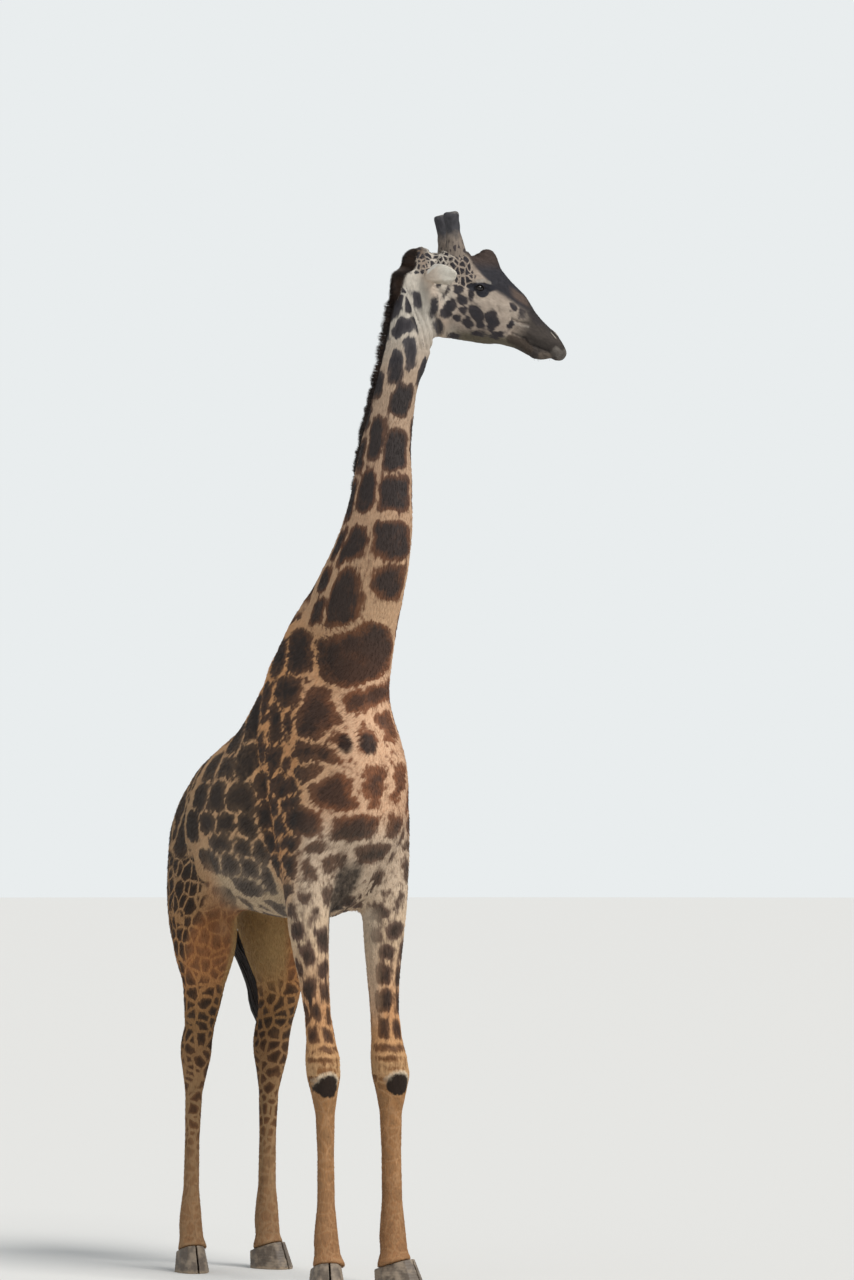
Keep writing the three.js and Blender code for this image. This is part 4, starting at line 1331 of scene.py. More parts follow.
def to_border(tree, vector, scatter, dimensions="3D"):
    """Distance from a cell's border."""
    cells = {"Vector": vector, "Scale": 1.0, "Randomness": scatter}
    settings = {"voronoi_dimensions": dimensions, "feature": "DISTANCE_TO_EDGE"}
    return add_node(tree, "ShaderNodeTexVoronoi", cells, **settings).outputs["Distance"]


def new_group(name, inputs, outputs):
    """A shader group with named sockets of these kinds, and its two ends."""
    group = bpy.data.node_groups.new(name, "ShaderNodeTree")
    for way, sockets in (("INPUT", inputs), ("OUTPUT", outputs)):
        for key, kind in sockets.items():
            group.interface.new_socket(key, in_out=way, socket_type=kind)
    return group, group.nodes.new("NodeGroupInput").outputs, group.nodes.new("NodeGroupOutput")


# %% Markings group: how far inside a patch a place lies
MARK_SCALE = 9.0  # turns metres inside a placed patch into shares of a cell

markings, given, end = new_group(
    "coat markings",
    {"Raggedness": "NodeSocketFloat"},
    {"Color": "NodeSocketColor", "Height": "NodeSocketFloat", "Patch": "NodeSocketFloat"},
)
tree = markings
place_at = attribute_of(tree, "place")
strand_at = attribute_of(tree, "strand")
bend = centred(tree, place_at, 9.0, 1.0, 0.22)
ripple = centred(tree, place_at, 42.0, 2.0, 0.07)
fringe = scaled(tree, centred(tree, strand_at, 150.0, 1.0, 0.035), (0.3, 1.6, 1.0))
bent = scaled(tree, vector_sum(tree, bend, ripple, fringe), given["Raggedness"])
cells_at = vector_sum(tree, attribute_of(tree, "cells"), bent)
on_neck = to_border(tree, vector_sum(tree, attribute_of(tree, "lattice"), bent), 0.45, "2D")
on_trunk = to_border(tree, cells_at, 0.9)
on_legs = to_border(tree, vector_sum(tree, attribute_of(tree, "spots"), bent), 0.95)
in_placed = number(tree, "MULTIPLY", attribute_of(tree, "marks", "Fac"), MARK_SCALE)
wobble = number(tree, "SUBTRACT", noise(tree, place_at, 38.0, 3.0), 0.5)
in_placed = number(tree, "MULTIPLY_ADD", wobble, 0.13, in_placed)
fringe_tone = number(tree, "SUBTRACT", noise(tree, strand_at, 55.0, 2.0), 0.5)
in_placed = number(tree, "MULTIPLY_ADD", fringe_tone, 0.26, in_placed)
weaves = add_node(tree, "ShaderNodeSeparateXYZ", {0: attribute_of(tree, "weave")}).outputs
woven = number(tree, "ADD", weaves[0], number(tree, "ADD", weaves[1], weaves[2]))
rest = number(tree, "SUBTRACT", 1.0, woven)
border = number(tree, "MULTIPLY", on_neck, weaves[0])
border = number(tree, "MULTIPLY_ADD", on_trunk, weaves[1], border)
border = number(tree, "MULTIPLY_ADD", on_legs, weaves[2], border)
border = number(tree, "MULTIPLY_ADD", in_placed, rest, border)
fenced = number(tree, "MULTIPLY", attribute_of(tree, "fence", "Fac"), MARK_SCALE)
border = number(tree, "MINIMUM", border, fenced)
crack = to_border(tree, scaled(tree, cells_at, 3.3), 1.0)
crack = number(tree, "MULTIPLY_ADD", crack, 0.42, number(tree, "MULTIPLY", border, 0.45))
cracked = number(tree, "MINIMUM", border, crack)
cracked_share = attribute_of(tree, "cracks", "Fac")
border = made(tree, "ShaderNodeMix", {0: cracked_share, 2: border, 3: cracked})

# %% Markings group: colours and relief
habits = add_node(tree, "ShaderNodeSeparateXYZ", {0: attribute_of(tree, "habit")}).outputs
uneven = number(tree, "MULTIPLY_ADD", noise(tree, place_at, 16.0, 2.0), 0.9, 0.55)
width = number(tree, "MULTIPLY", habits[0], uneven)
edge_from = number(tree, "SUBTRACT", width, habits[1])
patch = ramp(tree, border, edge_from, number(tree, "ADD", width, habits[1]))
patch = number(tree, "MULTIPLY", patch, habits[2])
depth_in = ramp(tree, border, width, number(tree, "ADD", width, 0.27))
fleck = number(tree, "SUBTRACT", noise(tree, strand_at, 120.0, 3.0), 0.5)
depth_in = number(tree, "MULTIPLY_ADD", fleck, 0.8, depth_in)
smudge = number(tree, "SUBTRACT", noise(tree, place_at, 13.0, 3.0), 0.44)
depth_in = number(tree, "MULTIPLY_ADD", smudge, 1.2, depth_in, clamp=True)
rim_colour = attribute_of(tree, "rim", "Color")
dark = blend_colours(tree, depth_in, rim_colour, attribute_of(tree, "core", "Color"))
cloud = noise(tree, place_at, 5.0, 3.0)
mottle = number(tree, "MULTIPLY", noise(tree, place_at, 48.0, 3.0), 0.34)
pale_tone = number(tree, "MULTIPLY_ADD", cloud, 0.44, number(tree, "ADD", 0.69, mottle))
colour = blend_colours(tree, patch, toned(tree, attribute_of(tree, "ground", "Color"), pale_tone), dark)
streak = noise(tree, strand_at, 210.0, 4.0)
streak_tone = number(tree, "MULTIPLY_ADD", number(tree, "SUBTRACT", streak, 0.5), 0.75, 1.0)
painted = toned(tree, attribute_of(tree, "paint", "Color"), streak_tone)
cover = attribute_of(tree, "paint", "Alpha")
cover = ramp(tree, number(tree, "MULTIPLY_ADD", wobble, 0.5, cover), 0.15, 0.85)
result = blend_colours(tree, cover, toned(tree, colour, streak_tone), painted)
tree.links.new(result, end.inputs["Color"])
tree.links.new(patch, end.inputs["Patch"])
coarse = number(tree, "MULTIPLY", noise(tree, strand_at, 70.0, 2.0), 0.6)
height = number(tree, "MULTIPLY_ADD", streak, 0.5, coarse)
tree.links.new(height, end.inputs["Height"])

# %% Coat material
RAGGEDNESS = 1.0  # how far the cells' borders bend; 0 would leave them straight

coat, tree, shader = new_material("giraffe coat", Specular_IOR_Level=0.22)
marked = add_node(tree, "ShaderNodeGroup", {"Raggedness": RAGGEDNESS}, node_tree=markings).outputs
tree.links.new(marked["Color"], shader.inputs["Base Color"])
set_relief(tree, shader, marked["Height"], 0.55, 0.004)
shine = number(tree, "MULTIPLY_ADD", marked["Patch"], -0.12, 0.76)
tree.links.new(shine, shader.inputs["Roughness"])
skin_mesh.materials.append(coat)

# %% [markdown]
# ## Eyes
# The eye is one ball. It bulges in front of the iris as a real cornea does, and it is dark brown with a
# wide pupil, under a wet gloss. How far each point is from the pupil's middle is kept on the mesh, so the
# material can draw iris and pupil as rings.

# %% Eyeballs
EYE_RINGS = 40
EYE_SEGMENTS = 56
CORNEA = (0.0013, 26.0)  # height of the bulge, and its half angle in degrees
GAZE = (0.18, 1.0, -0.05)  # forward, out to the side, up
BALL_INSET = 0.0006  # the ball is this much smaller than its solid
BALL_SUNK = 0.0008  # and drawn in so much more

eyeballs = []
for side, sign in (("left", 1), ("right", -1)):
    gaze = to_units((from_head((GAZE[0], sign * GAZE[1], GAZE[2])) - poll)[None])[0]
    shape = bmesh.new()
    radius = EYE_RADIUS - BALL_INSET
    bmesh.ops.create_uvsphere(shape, u_segments=EYE_SEGMENTS, v_segments=EYE_RINGS, radius=radius)
    turn = Vector((0, 0, 1)).rotation_difference(Vector(gaze)).to_matrix().to_4x4()
    bmesh.ops.transform(shape, matrix=turn, verts=shape.verts)
    mesh = bpy.data.meshes.new(f"eyeball_{side}")
    shape.to_mesh(mesh)
    shape.free()
    rays = to_units(read(mesh))
    off_axis = np.degrees(np.arccos(np.clip(rays @ gaze, -1, 1)))
    bulge = CORNEA[0] * rise(CORNEA[1], 0, off_axis) - BALL_SUNK
    place(mesh, eye_centres[side] + rays * (radius + bulge)[:, None])
    store(mesh, "off_axis", off_axis, "FLOAT")
    mesh.shade_smooth()
    eyeballs.append(new_object(f"eyeball_{side}", mesh))

WET = {"Roughness": 0.08, "Specular_IOR_Level": 0.2, "Coat_Weight": 0.45, "Coat_Roughness": 0.03}
eye_finish, tree, shader = new_material("wet dark eye", **WET)
off_axis = attribute_of(tree, "off_axis", "Fac")
place_in = add_node(tree, "ShaderNodeTexCoord").outputs["Object"]
fibres = noise(tree, place_in, 420.0, 3.0)
iris = blend_colours(tree, fibres, opaque("0E0B0B"), opaque("261B15"))
outer = blend_colours(tree, ramp(tree, off_axis, 32.0, 38.0), iris, opaque("17110F"))
white = blend_colours(tree, ramp(tree, off_axis, 50.0, 58.0), outer, opaque("3E3530"))
pupil = blend_colours(tree, ramp(tree, off_axis, 13.0, 17.0), (0.002, 0.002, 0.003, 1), white)
tree.links.new(pupil, shader.inputs["Base Color"])
for eyeball in eyeballs:
    eyeball.data.materials.append(eye_finish)
print("eye radius", round(1000 * EYE_RADIUS, 1), "mm")

# %% [markdown]
# ## Horns
# A bull's horns are bone under skin. The sides carry the same short coat, with small long spots where
# they flare into the skull. The tips have lost their hair from sparring and are bare, dark and polished.
# Each horn is a fine remesh of its solid, with soft lumps along it.

# %% Fine copies of rigid solids
def fine_copy(name, new_name, voxel, rounds, inwards):
    """A remeshed, evened copy of a solid, drawn in by a little so that it stays inside the solid."""
    thing = new_object(new_name, node_copy(name))
    with_modifier(thing, "REMESH", mode="VOXEL", voxel_size=voxel)
    with_modifier(thing, "SMOOTH", factor=0.5, iterations=rounds)
    mesh = applied(thing, new_name)
    place(mesh, read(mesh) - normals_of(mesh) * inwards)
    mesh.materials.clear()
    mesh.shade_smooth()
    return mesh


horns = []
for side in ("left", "right"):
    mesh = fine_copy(f"ossicone_{side}", f"horn_{side}", 0.0035, 8, 0.0)
    points = read(mesh).astype(float)
    outwards = normals_of(mesh)
    low, high = points[:, 2].min(), points[:, 2].max()
    share = (points[:, 2] - low) / (high - low)
    lumps = np.sin(points[:, 2] * 95 + points[:, 0] * 60) * np.sin(points[:, 1] * 88 + points[:, 2] * 31)
    flare = 0.010 * rise(0.34, 0.02, share) ** 1.5 * (1 - abs(outwards[:, 2]))
    points += outwards * (0.0013 * lumps * rise(0.1, 0.5, share) - 0.0008 + flare)[:, None]
    place(mesh, points)
    middle = points[share > 0.4].mean(0)
    around = np.arctan2(points[:, 1] - middle[1], points[:, 0] - middle[0])
    room = np.stack((np.cos(around) * 1.9, np.sin(around) * 1.9, (points[:, 2] - low) / 0.042), 1)
    store(mesh, "place", points)
    store(mesh, "strand", points - SQUEEZE * points * (0, 0, 1))
    store(mesh, "spots", room + 7)
    store(mesh, "share", share, "FLOAT")
    horns.append(new_object(f"horn_{side}", mesh))
    print(f"horn_{side}:", len(mesh.polygons), "faces")

horn_finish, tree, shader = new_material("horn skin and worn tip", Specular_IOR_Level=0.35)
share = attribute_of(tree, "share", "Fac")
place_at = attribute_of(tree, "place")
strand_at = attribute_of(tree, "strand")
bent = vector_sum(tree, attribute_of(tree, "spots"), centred(tree, place_at, 60.0, 2.0, 0.25))
spot = ramp(tree, to_border(tree, bent, 0.8), 0.15, 0.26)
spot = number(tree, "MULTIPLY", spot, ramp(tree, share, 0.62, 0.30))
tan = blend_colours(tree, noise(tree, strand_at, 160.0, 3.0), opaque("5E544C"), opaque("8F8276"))
sides = blend_colours(tree, spot, tan, opaque("3B3435"))
dusky = blend_colours(tree, noise(tree, place_at, 45.0, 4.0), opaque("232327"), opaque("4A494D"))
wear = number(tree, "MULTIPLY_ADD", noise(tree, place_at, 30.0, 2.0), 0.25, share)
upper = blend_colours(tree, ramp(tree, wear, 0.55, 0.80), sides, dusky)
polished = ramp(tree, wear, 1.05, 1.13)
horn_colour = blend_colours(tree, polished, upper, opaque("6E6A66"))
tree.links.new(horn_colour, shader.inputs["Base Color"])
shine = number(tree, "MULTIPLY_ADD", polished, -0.2, 0.75)
tree.links.new(shine, shader.inputs["Roughness"])
pits = number(tree, "ADD", noise(tree, strand_at, 240.0, 3.0), noise(tree, place_at, 120.0, 3.0))
set_relief(tree, shader, pits, 0.5, 0.003)
for horn in horns:
    horn.data.materials.append(horn_finish)

# %% [markdown]
# ## Hooves
# Each foot ends in two toes of dark horn. The wall of a toe grows down from the hairline, so it shows
# rings round it, fine grain down it, and wear and dust at the ground.

# %% Toes with growth rings
toes = []
for node in sorted(n for n in nodes if n.startswith("hoof")):
    mesh = fine_copy(node, node.replace("hoof", "toe"), 0.004, 5, 0.0003)
    points = read(mesh).astype(float)
    outwards = normals_of(mesh)
    upright = 1 - abs(outwards[:, 2])
    rings = np.sin(points[:, 2] * 2 * math.pi / 0.0135 + 1.5 * np.sin(points[:, 0] * 60))
    moved = points + outwards * (0.0007 * rings * upright - 0.0009)[:, None]
    moved[:, 2] = np.where(points[:, 2] < 0.004, points[:, 2], moved[:, 2])
    moved[:, 2] = np.maximum(moved[:, 2], 0.0)
    place(mesh, moved)
    toes.append(new_object(mesh.name, mesh))
print(len(toes), "toes,", sum(len(t.data.polygons) for t in toes), "faces")

hoof_finish, tree, shader = new_material("hoof horn", Specular_IOR_Level=0.4)
place_in = add_node(tree, "ShaderNodeTexCoord").outputs["Object"]
height = add_node(tree, "ShaderNodeSeparateXYZ", {0: place_in}).outputs[2]
grain = noise(tree, scaled(tree, place_in, (1.0, 1.0, 0.08)), 520.0, 3.0)
wall = blend_colours(tree, grain, opaque("4A4038"), opaque("766A5E"))
blotch = ramp(tree, noise(tree, place_in, 22.0, 3.0), 0.40, 0.65)
wall = blend_colours(tree, blotch, wall, opaque("8F8171"))
dusty = number(tree, "MULTIPLY_ADD", noise(tree, place_in, 60.0, 3.0), 0.03, height)
wall = blend_colours(tree, ramp(tree, dusty, 0.035, 0.012), wall, opaque("A3907A"))
tree.links.new(wall, shader.inputs["Base Color"])
tree.links.new(number(tree, "MULTIPLY_ADD", blotch, 0.2, 0.5), shader.inputs["Roughness"])
bands = noise(tree, scaled(tree, place_in, (0.2, 0.2, 1.0)), 160.0, 2.0)
set_relief(tree, shader, number(tree, "MULTIPLY_ADD", grain, 0.5, bands), 0.4, 0.002)
for toe in toes:
    toe.data.materials.append(hoof_finish)

# %% [markdown]
# ## The coat
# The hair is a few millimetres to two centimetres long and lies flat, so the skin's bump carries most of
# it. Over the bump lie thin tufts, each a closed spike of four faces, which break up the outline and
# catch the light. One Geometry Nodes tree scatters them: it puts points on the skin by a stored
# density, turns each tuft along the stored lie of the hair, sizes it by a stored length and joins all
# into one mesh. Each tuft keeps its root's markings, and a small patch of its own on the skin's unwrap.
# It also borrows the skin's shading direction, so that thousands of small spikes look soft, not faceted.

# %% One tuft, and the unwrap of the skin
TUFT_WIDTH = 0.17  # of its length
TUFT_LIFT = 0.09

tuft_mesh = bpy.data.meshes.new("one_tuft")
half = TUFT_WIDTH / 2
tuft_corners = [(0, -half, -0.03), (0, half, -0.03), (0.05, 0, TUFT_LIFT * 0.8), (1, 0, TUFT_LIFT)]
tuft_mesh.from_pydata(tuft_corners, [], [(0, 2, 1), (0, 1, 3), (1, 2, 3), (2, 0, 3)])
tuft = new_object("one_tuft", tuft_mesh)

bpy.context.view_layer.objects.active = skin
skin.select_set(True)
skin_mesh.uv_layers.new(name="unwrap")
bpy.ops.object.mode_set(mode="EDIT")
bpy.ops.mesh.select_all(action="SELECT")
bpy.ops.uv.smart_project(angle_limit=math.radians(70), island_margin=0.001)
bpy.ops.object.mode_set(mode="OBJECT")
skin.select_set(False)

# %% Length of the hair
HAIR_LENGTHS = [
    (rise(2.3, 1.9, b.z), 0.022),  # flank and belly
    (b.neck, 0.018),
    (b.low_down * (1 - b.tail), 0.016),  # upper legs
    (b.low_down * rise(1.4, 1.0, b.z) * (1 - b.tail), 0.011),  # lower legs
    (b.head, 0.008 + 0.004 * rise(0.3, 0.1, b.forward)),
    (b.head * rise(0.5, 0.6, b.forward), 0.0055),  # muzzle
    (rise(4.2, 4.4, b.z) * (1 - b.head), 0.011),  # top of the neck
    (b.ear, 0.007),
]
length = np.full(count, 0.019)
for share, goal in HAIR_LENGTHS:
    length = towards(length, share, goal)
# Hair is short on the right ear's edge and the right flank, so that it stays inside the solids' box.
low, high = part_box("ear_right")
length *= rise(high.x - 0.002, high.x - 0.03, b.x) * 0.7 + 0.3
low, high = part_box("trunk")
length *= rise(low.y + 0.004, low.y + 0.03, b.y) * 0.5 + 0.5
throat_share = rise(-0.24, -0.28, b.up) * rise(0.16, 0.10, b.forward)
throat_share *= rise(-0.12, -0.06, b.forward) * (b.z > HEAD_FROM)
length = towards(length, throat_share, 0.008)
length = towards(length, back_of_poll * (b.z > 4.4), 0.032)

# %% Bare places and regions
ROOM_PER_TUFT = 0.27  # of the length squared

bare = np.maximum(rise(0.012, 0.004, slit_gap), rise(0.3, 0.6, hollow))
bare = np.maximum(bare, 0.6 * throat_share)
bare = np.maximum(bare, rise(0.008, 0.004, path_gap(MOUTH)) * b.head)
callus = rise(0.3, 0.7, paint[:, 3]) * (b.x > 0.4) * rise(0.885, 0.90, b.z)
bare = np.maximum(bare, callus * rise(1.0, 0.985, b.z) * 0.7)
density = (1 - bare) / (ROOM_PER_TUFT * length**2)
REGIONS = {
    "head": b.head > 0.5,
    "neck": (b.head <= 0.5) & (b.neck > 0.5),
    "fore_legs": (b.head <= 0.5) & (b.fore > 0.5),
    "hind_legs": (b.head <= 0.5) & ((b.hind > 0.5) | (b.tail > 0.5)),
}
REGIONS["trunk"] = ~np.any(list(REGIONS.values()), axis=0)
store(skin_mesh, "hair_length", length, "FLOAT")
store(skin_mesh, "facing", to_units(0.85 * b.outwards - 0.25 * hair_lie(b)))

# %% Helpers for geometry trees
def geometry_tree(name, inputs):
    """A Geometry Nodes tree with these named inputs after its geometry."""
    tree = bpy.data.node_groups.new(name, "GeometryNodeTree")
    tree.interface.new_socket("Geometry", in_out="INPUT", socket_type="NodeSocketGeometry")
    tree.interface.new_socket("Geometry", in_out="OUTPUT", socket_type="NodeSocketGeometry")
    sockets = {}
    for key, kind in inputs.items():
        sockets[key] = tree.interface.new_socket(key, in_out="INPUT", socket_type=kind).identifier
    return tree, tree.nodes.new("NodeGroupInput").outputs, tree.nodes.new("NodeGroupOutput"), sockets


def kept(tree, name, kind="FLOAT_VECTOR"):
    """A value kept on the mesh under this name."""
    return made(tree, "GeometryNodeInputNamedAttribute", {0: name}, data_type=kind)


def finish_tree(tree, end, geometry, material):
    """Sets the material and hands the geometry to the tree's output."""
    finished = made(tree, "GeometryNodeSetMaterial", {"Geometry": geometry, "Material": material})
    tree.links.new(finished, end.inputs[0])


def set_inputs(modifier, sockets, values):
    """Gives a modifier's inputs their values, by the sockets' identifiers."""
    for key, value in values.items():
        modifier[sockets[key]] = value


# %% The scattering tree: where tufts stand and how they are turned
scatter, given, end, scatter_sockets = geometry_tree(
    "scatter hair",
    {
        "Hair": "NodeSocketObject",
        "Density Name": "NodeSocketString",
        "Jitter": "NodeSocketFloat",
        "Shortest": "NodeSocketFloat",
        "Longest": "NodeSocketFloat",
        "Seed": "NodeSocketInt",
        "Material": "NodeSocketMaterial",
    },
)
tree = scatter
amount_here = kept(tree, given["Density Name"], "FLOAT")
ground = {"Mesh": given["Geometry"], "Density": amount_here, "Seed": given["Seed"]}
roots = add_node(tree, "GeometryNodeDistributePointsOnFaces", ground).outputs
every_way = {0: (-1.0, -1.0, -1.0), 1: (1.0, 1.0, 1.0), "Seed": given["Seed"]}
shake = made(tree, "FunctionNodeRandomValue", every_way, data_type="FLOAT_VECTOR")
shaken = made(tree, "ShaderNodeVectorMath", {0: shake, "Scale": given["Jitter"]}, operation="SCALE")
way = vector_sum(tree, kept(tree, "lie"), shaken)
along_lie = made(tree, "FunctionNodeAlignRotationToVector", {"Vector": way}, axis="X")
upright = {"Rotation": along_lie, "Vector": roots["Normal"]}
turned = made(tree, "FunctionNodeAlignRotationToVector", upright, axis="Z", pivot_axis="X")
between = {2: given["Shortest"], 3: given["Longest"], "Seed": given["Seed"]}
unlike = add_node(tree, "FunctionNodeRandomValue", between).outputs[1]
size = number(tree, "MULTIPLY", unlike, kept(tree, "hair_length", "FLOAT"))

# %% The scattering tree: plant, shade and unwrap the tufts
UV_SIZE = (0.003, 0.003, 0.0)  # of one tuft's patch on the unwrap

hair = add_node(tree, "GeometryNodeObjectInfo", {"Object": given["Hair"]}).outputs["Geometry"]
own_place = {"Geometry": hair, "Name": "local", "Value": made(tree, "GeometryNodeInputPosition")}
with_local = made(tree, "GeometryNodeStoreNamedAttribute", own_place, data_type="FLOAT_VECTOR")
planting = {"Points": roots["Points"], "Instance": with_local, "Rotation": turned, "Scale": size}
planted = made(tree, "GeometryNodeInstanceOnPoints", planting)
real = made(tree, "GeometryNodeRealizeInstances", {"Geometry": planted})
shading = {"Mesh": real, "Custom Normal": kept(tree, "facing")}
shaded = made(tree, "GeometryNodeSetMeshNormal", shading, mode="FREE", domain="POINT")
spot = {0: kept(tree, "local"), 1: UV_SIZE, 2: kept(tree, "unwrap")}
patch_uv = made(tree, "ShaderNodeVectorMath", spot, operation="MULTIPLY_ADD")
unwrapped = {"Geometry": shaded, "Name": "OFBake", "Value": patch_uv}
baked = made(tree, "GeometryNodeStoreNamedAttribute", unwrapped, data_type="FLOAT2", domain="CORNER")
finish_tree(tree, end, baked, given["Material"])


# %% Grow the coat
SPARE = ("local", "unwrap", "lie", "hair_length", "facing", "tufts_here")  # of no use on grown hair
TUFT_JITTER = 0.16
FIRST_SEED = 11


def grow(name, ground, hair, density, jitter, seed, material, sizes=(0.65, 1.25)):
    """Scatters hair over a mesh by its stored density, as one plain mesh object."""
    carrier = new_object(name, ground)
    modifier = carrier.modifiers.new("scatter", "NODES")
    modifier.node_group = scatter
    store(ground, "tufts_here", density, "FLOAT")
    values = {"Hair": hair, "Density Name": "tufts_here", "Jitter": jitter, "Seed": seed}
    values.update({"Shortest": sizes[0], "Longest": sizes[1], "Material": material})
    set_inputs(modifier, scatter_sockets, values)
    mesh = applied(carrier, name)
    ground.attributes.remove(ground.attributes["tufts_here"])
    for spare in SPARE:
        if spare in mesh.attributes:
            mesh.attributes.remove(mesh.attributes[spare])
    return new_object(name, mesh)


coat_pieces = []
for seed, (region, chosen) in enumerate(REGIONS.items()):
    piece = grow(f"coat_{region}", skin_mesh, tuft, density * chosen, TUFT_JITTER, FIRST_SEED + seed, coat)
    coat_pieces.append(piece)
    print(piece.name, len(piece.data.polygons), "faces", [uv.name for uv in piece.data.uv_layers])

# %% [markdown]
# ## Mane, tail and lashes
# The mane is a short dark crest from the poll to the shoulders. It is rooted on the strip of skin under
# the mane's solid and stands up to that solid's edge: for each root, a ray finds how far the edge is.
# It uses the coat's own tree with a longer, thinner hair.

# %% One long hair
HAIR_WIDTH = 0.06  # of its length

long_hair_mesh = bpy.data.meshes.new("one_long_hair")
half = HAIR_WIDTH / 2
bend_at = [(0, -half, 0), (0, half, 0), (0, 0, half), (0.5, -half * 0.8, 0.03), (0.5, half * 0.8, 0.03)]
bend_at += [(0.5, 0, 0.03 + half), (1, 0, 0.0)]
sides = [(0, 2, 1), (0, 1, 4, 3), (1, 2, 5, 4), (2, 0, 3, 5), (3, 4, 6), (4, 5, 6), (5, 3, 6)]
long_hair_mesh.from_pydata(bend_at, [], sides)
long_hair = new_object("one_long_hair", long_hair_mesh)

# %% Roots of the mane
near_mane = (beside_mane < 0.085) & (b.z > low_mane.z - 0.02) | (back_of_poll > 0.2) & (b.z > 4.4)
strip_mesh = skin_mesh.copy()
shape = bmesh.new()
shape.from_mesh(strip_mesh)
shape.verts.ensure_lookup_table()
bmesh.ops.delete(shape, geom=[shape.verts[i] for i in np.flatnonzero(~near_mane)], context="VERTS")
shape.to_mesh(strip_mesh)
shape.free()
for name in [a.name for a in strip_mesh.attributes if not a.name.startswith((".", "position"))]:
    strip_mesh.attributes.remove(strip_mesh.attributes[name])
roots = read(strip_mesh).astype(float)
root_normals = normals_of(strip_mesh)
backwards = -into_nape(roots)
wave = np.sin(roots[:, 2] * 23)[:, None] * np.array((0, 0.04, 0.0))
stand = to_units(backwards + np.array((0, 0, 0.22)) + wave + 0.10 * root_normals)

# %% Length of the mane
MANE_PER_AREA = 210_000  # hairs per square metre
SEARCH = 0.25
SHORTEST = 0.008

mane_corners = read(nodes["mane"].data)
mane_faces = [tuple(p.vertices) for p in nodes["mane"].data.polygons]
mane_tree = BVHTree.FromPolygons(mane_corners.tolist(), mane_faces)
reach = np.zeros(len(roots))
for i, (root_at, direction) in enumerate(zip(roots, stand)):
    hit = mane_tree.ray_cast(Vector(root_at + SEARCH * direction), Vector(-direction), SEARCH)
    reach[i] = SEARCH - hit[3] if hit[0] is not None else 0.0
reach = np.maximum(reach, MANE_STANDS * back_of_poll[near_mane])
store(strip_mesh, "place", roots)
store(strip_mesh, "strand", roots * (1, 1, 0.3))
store(strip_mesh, "lie", stand)
store(strip_mesh, "facing", to_units(0.6 * root_normals + 0.5 * backwards + np.array((0, 0, 0.3))))
store(strip_mesh, "hair_length", np.clip(reach, SHORTEST, 0.085) * 0.92, "FLOAT")
strip_mesh.uv_layers.new(name="unwrap")

# %% Grow the mane
mane_finish, tree, shader = new_material("mane hair", Roughness=0.55, Specular_IOR_Level=0.3)
hue = noise(tree, attribute_of(tree, "place"), 420.0, 2.0)
broad = noise(tree, attribute_of(tree, "place"), 14.0, 2.0)
shade = number(tree, "MULTIPLY_ADD", broad, 0.8, number(tree, "SUBTRACT", hue, 0.4))
mane_colour = blend_colours(tree, ramp(tree, shade, 0.3, 0.9), opaque("231C1A"), opaque("4E3A2E"))
tree.links.new(mane_colour, shader.inputs["Base Color"])
density = MANE_PER_AREA * (reach > SHORTEST)
mane_hair = grow("mane_hair", strip_mesh, long_hair, density, 0.09, 5, mane_finish, (0.86, 1.07))
print("mane:", len(mane_hair.data.polygons), "faces, hair up to", round(1000 * reach.max()), "mm")

# %% [markdown]
# ## Locks, lashes and bristles
# The tail ends in long black hair that hangs in locks. Each lock is a path. A second tree turns all paths
# into thin tapering tubes. The same tree makes the lashes of the upper lids and the bristles of the chin.

# %% The strand tree
strand_tree, given, end, strand_sockets = geometry_tree(
    "strands",
    {"Thickness": "NodeSocketFloat", "Sides": "NodeSocketInt", "Material": "NodeSocketMaterial"},
)
tree = strand_tree
curves = made(tree, "GeometryNodeMeshToCurve", {"Mesh": given["Geometry"]})
ring = made(tree, "GeometryNodeCurvePrimitiveCircle", {"Resolution": given["Sides"], "Radius": 1.0})
share = made(tree, "GeometryNodeSplineParameter")
taper = number(tree, "SUBTRACT", 1.04, number(tree, "POWER", share, 2.0))
thick = number(tree, "MULTIPLY", taper, given["Thickness"])
sweep = {"Curve": curves, "Profile Curve": ring, "Scale": thick, "Fill Caps": True}
tubes = made(tree, "GeometryNodeCurveToMesh", sweep)
smooth = made(tree, "GeometryNodeSetShadeSmooth", {0: tubes})
finish_tree(tree, end, smooth, given["Material"])


def strands_from(name, paths, thickness, sides, material):
    """Tapered tubes along paths, as one mesh object."""
    corners = np.concatenate(paths)
    edges = []
    start = 0
    for path in paths:
        edges += [(start + i, start + i + 1) for i in range(len(path) - 1)]
        start += len(path)
    mesh = bpy.data.meshes.new(name)
    mesh.from_pydata(corners.tolist(), edges, [])
    thing = new_object(name, mesh)
    modifier = thing.modifiers.new("strands", "NODES")
    modifier.node_group = strand_tree
    values = {"Thickness": thickness, "Sides": sides, "Material": material}
    set_inputs(modifier, strand_sockets, values)
    return new_object(name, applied(thing, name))


# %% Locks of the tassel
LOCKS = 320
LOCK_STEPS = 14

random = np.random.default_rng(31)
tassel_corners = read(nodes["tail_tassel"].data).astype(float)
tassel_line = middle_line("tail_tassel", 9)
low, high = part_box("tail_tassel")


def tassel_width(heights):
    """Half the width of the tassel at these heights."""
    middles = along(tassel_line, tassel_line[0])
    widths = []
    for height, middle in zip(tassel_line[0], middles):
        near = tassel_corners[abs(tassel_corners[:, 2] - height) < 0.07]
        widths.append(np.linalg.norm(near[:, :2] - middle, axis=1).max())
    return np.interp(heights, tassel_line[0], widths)


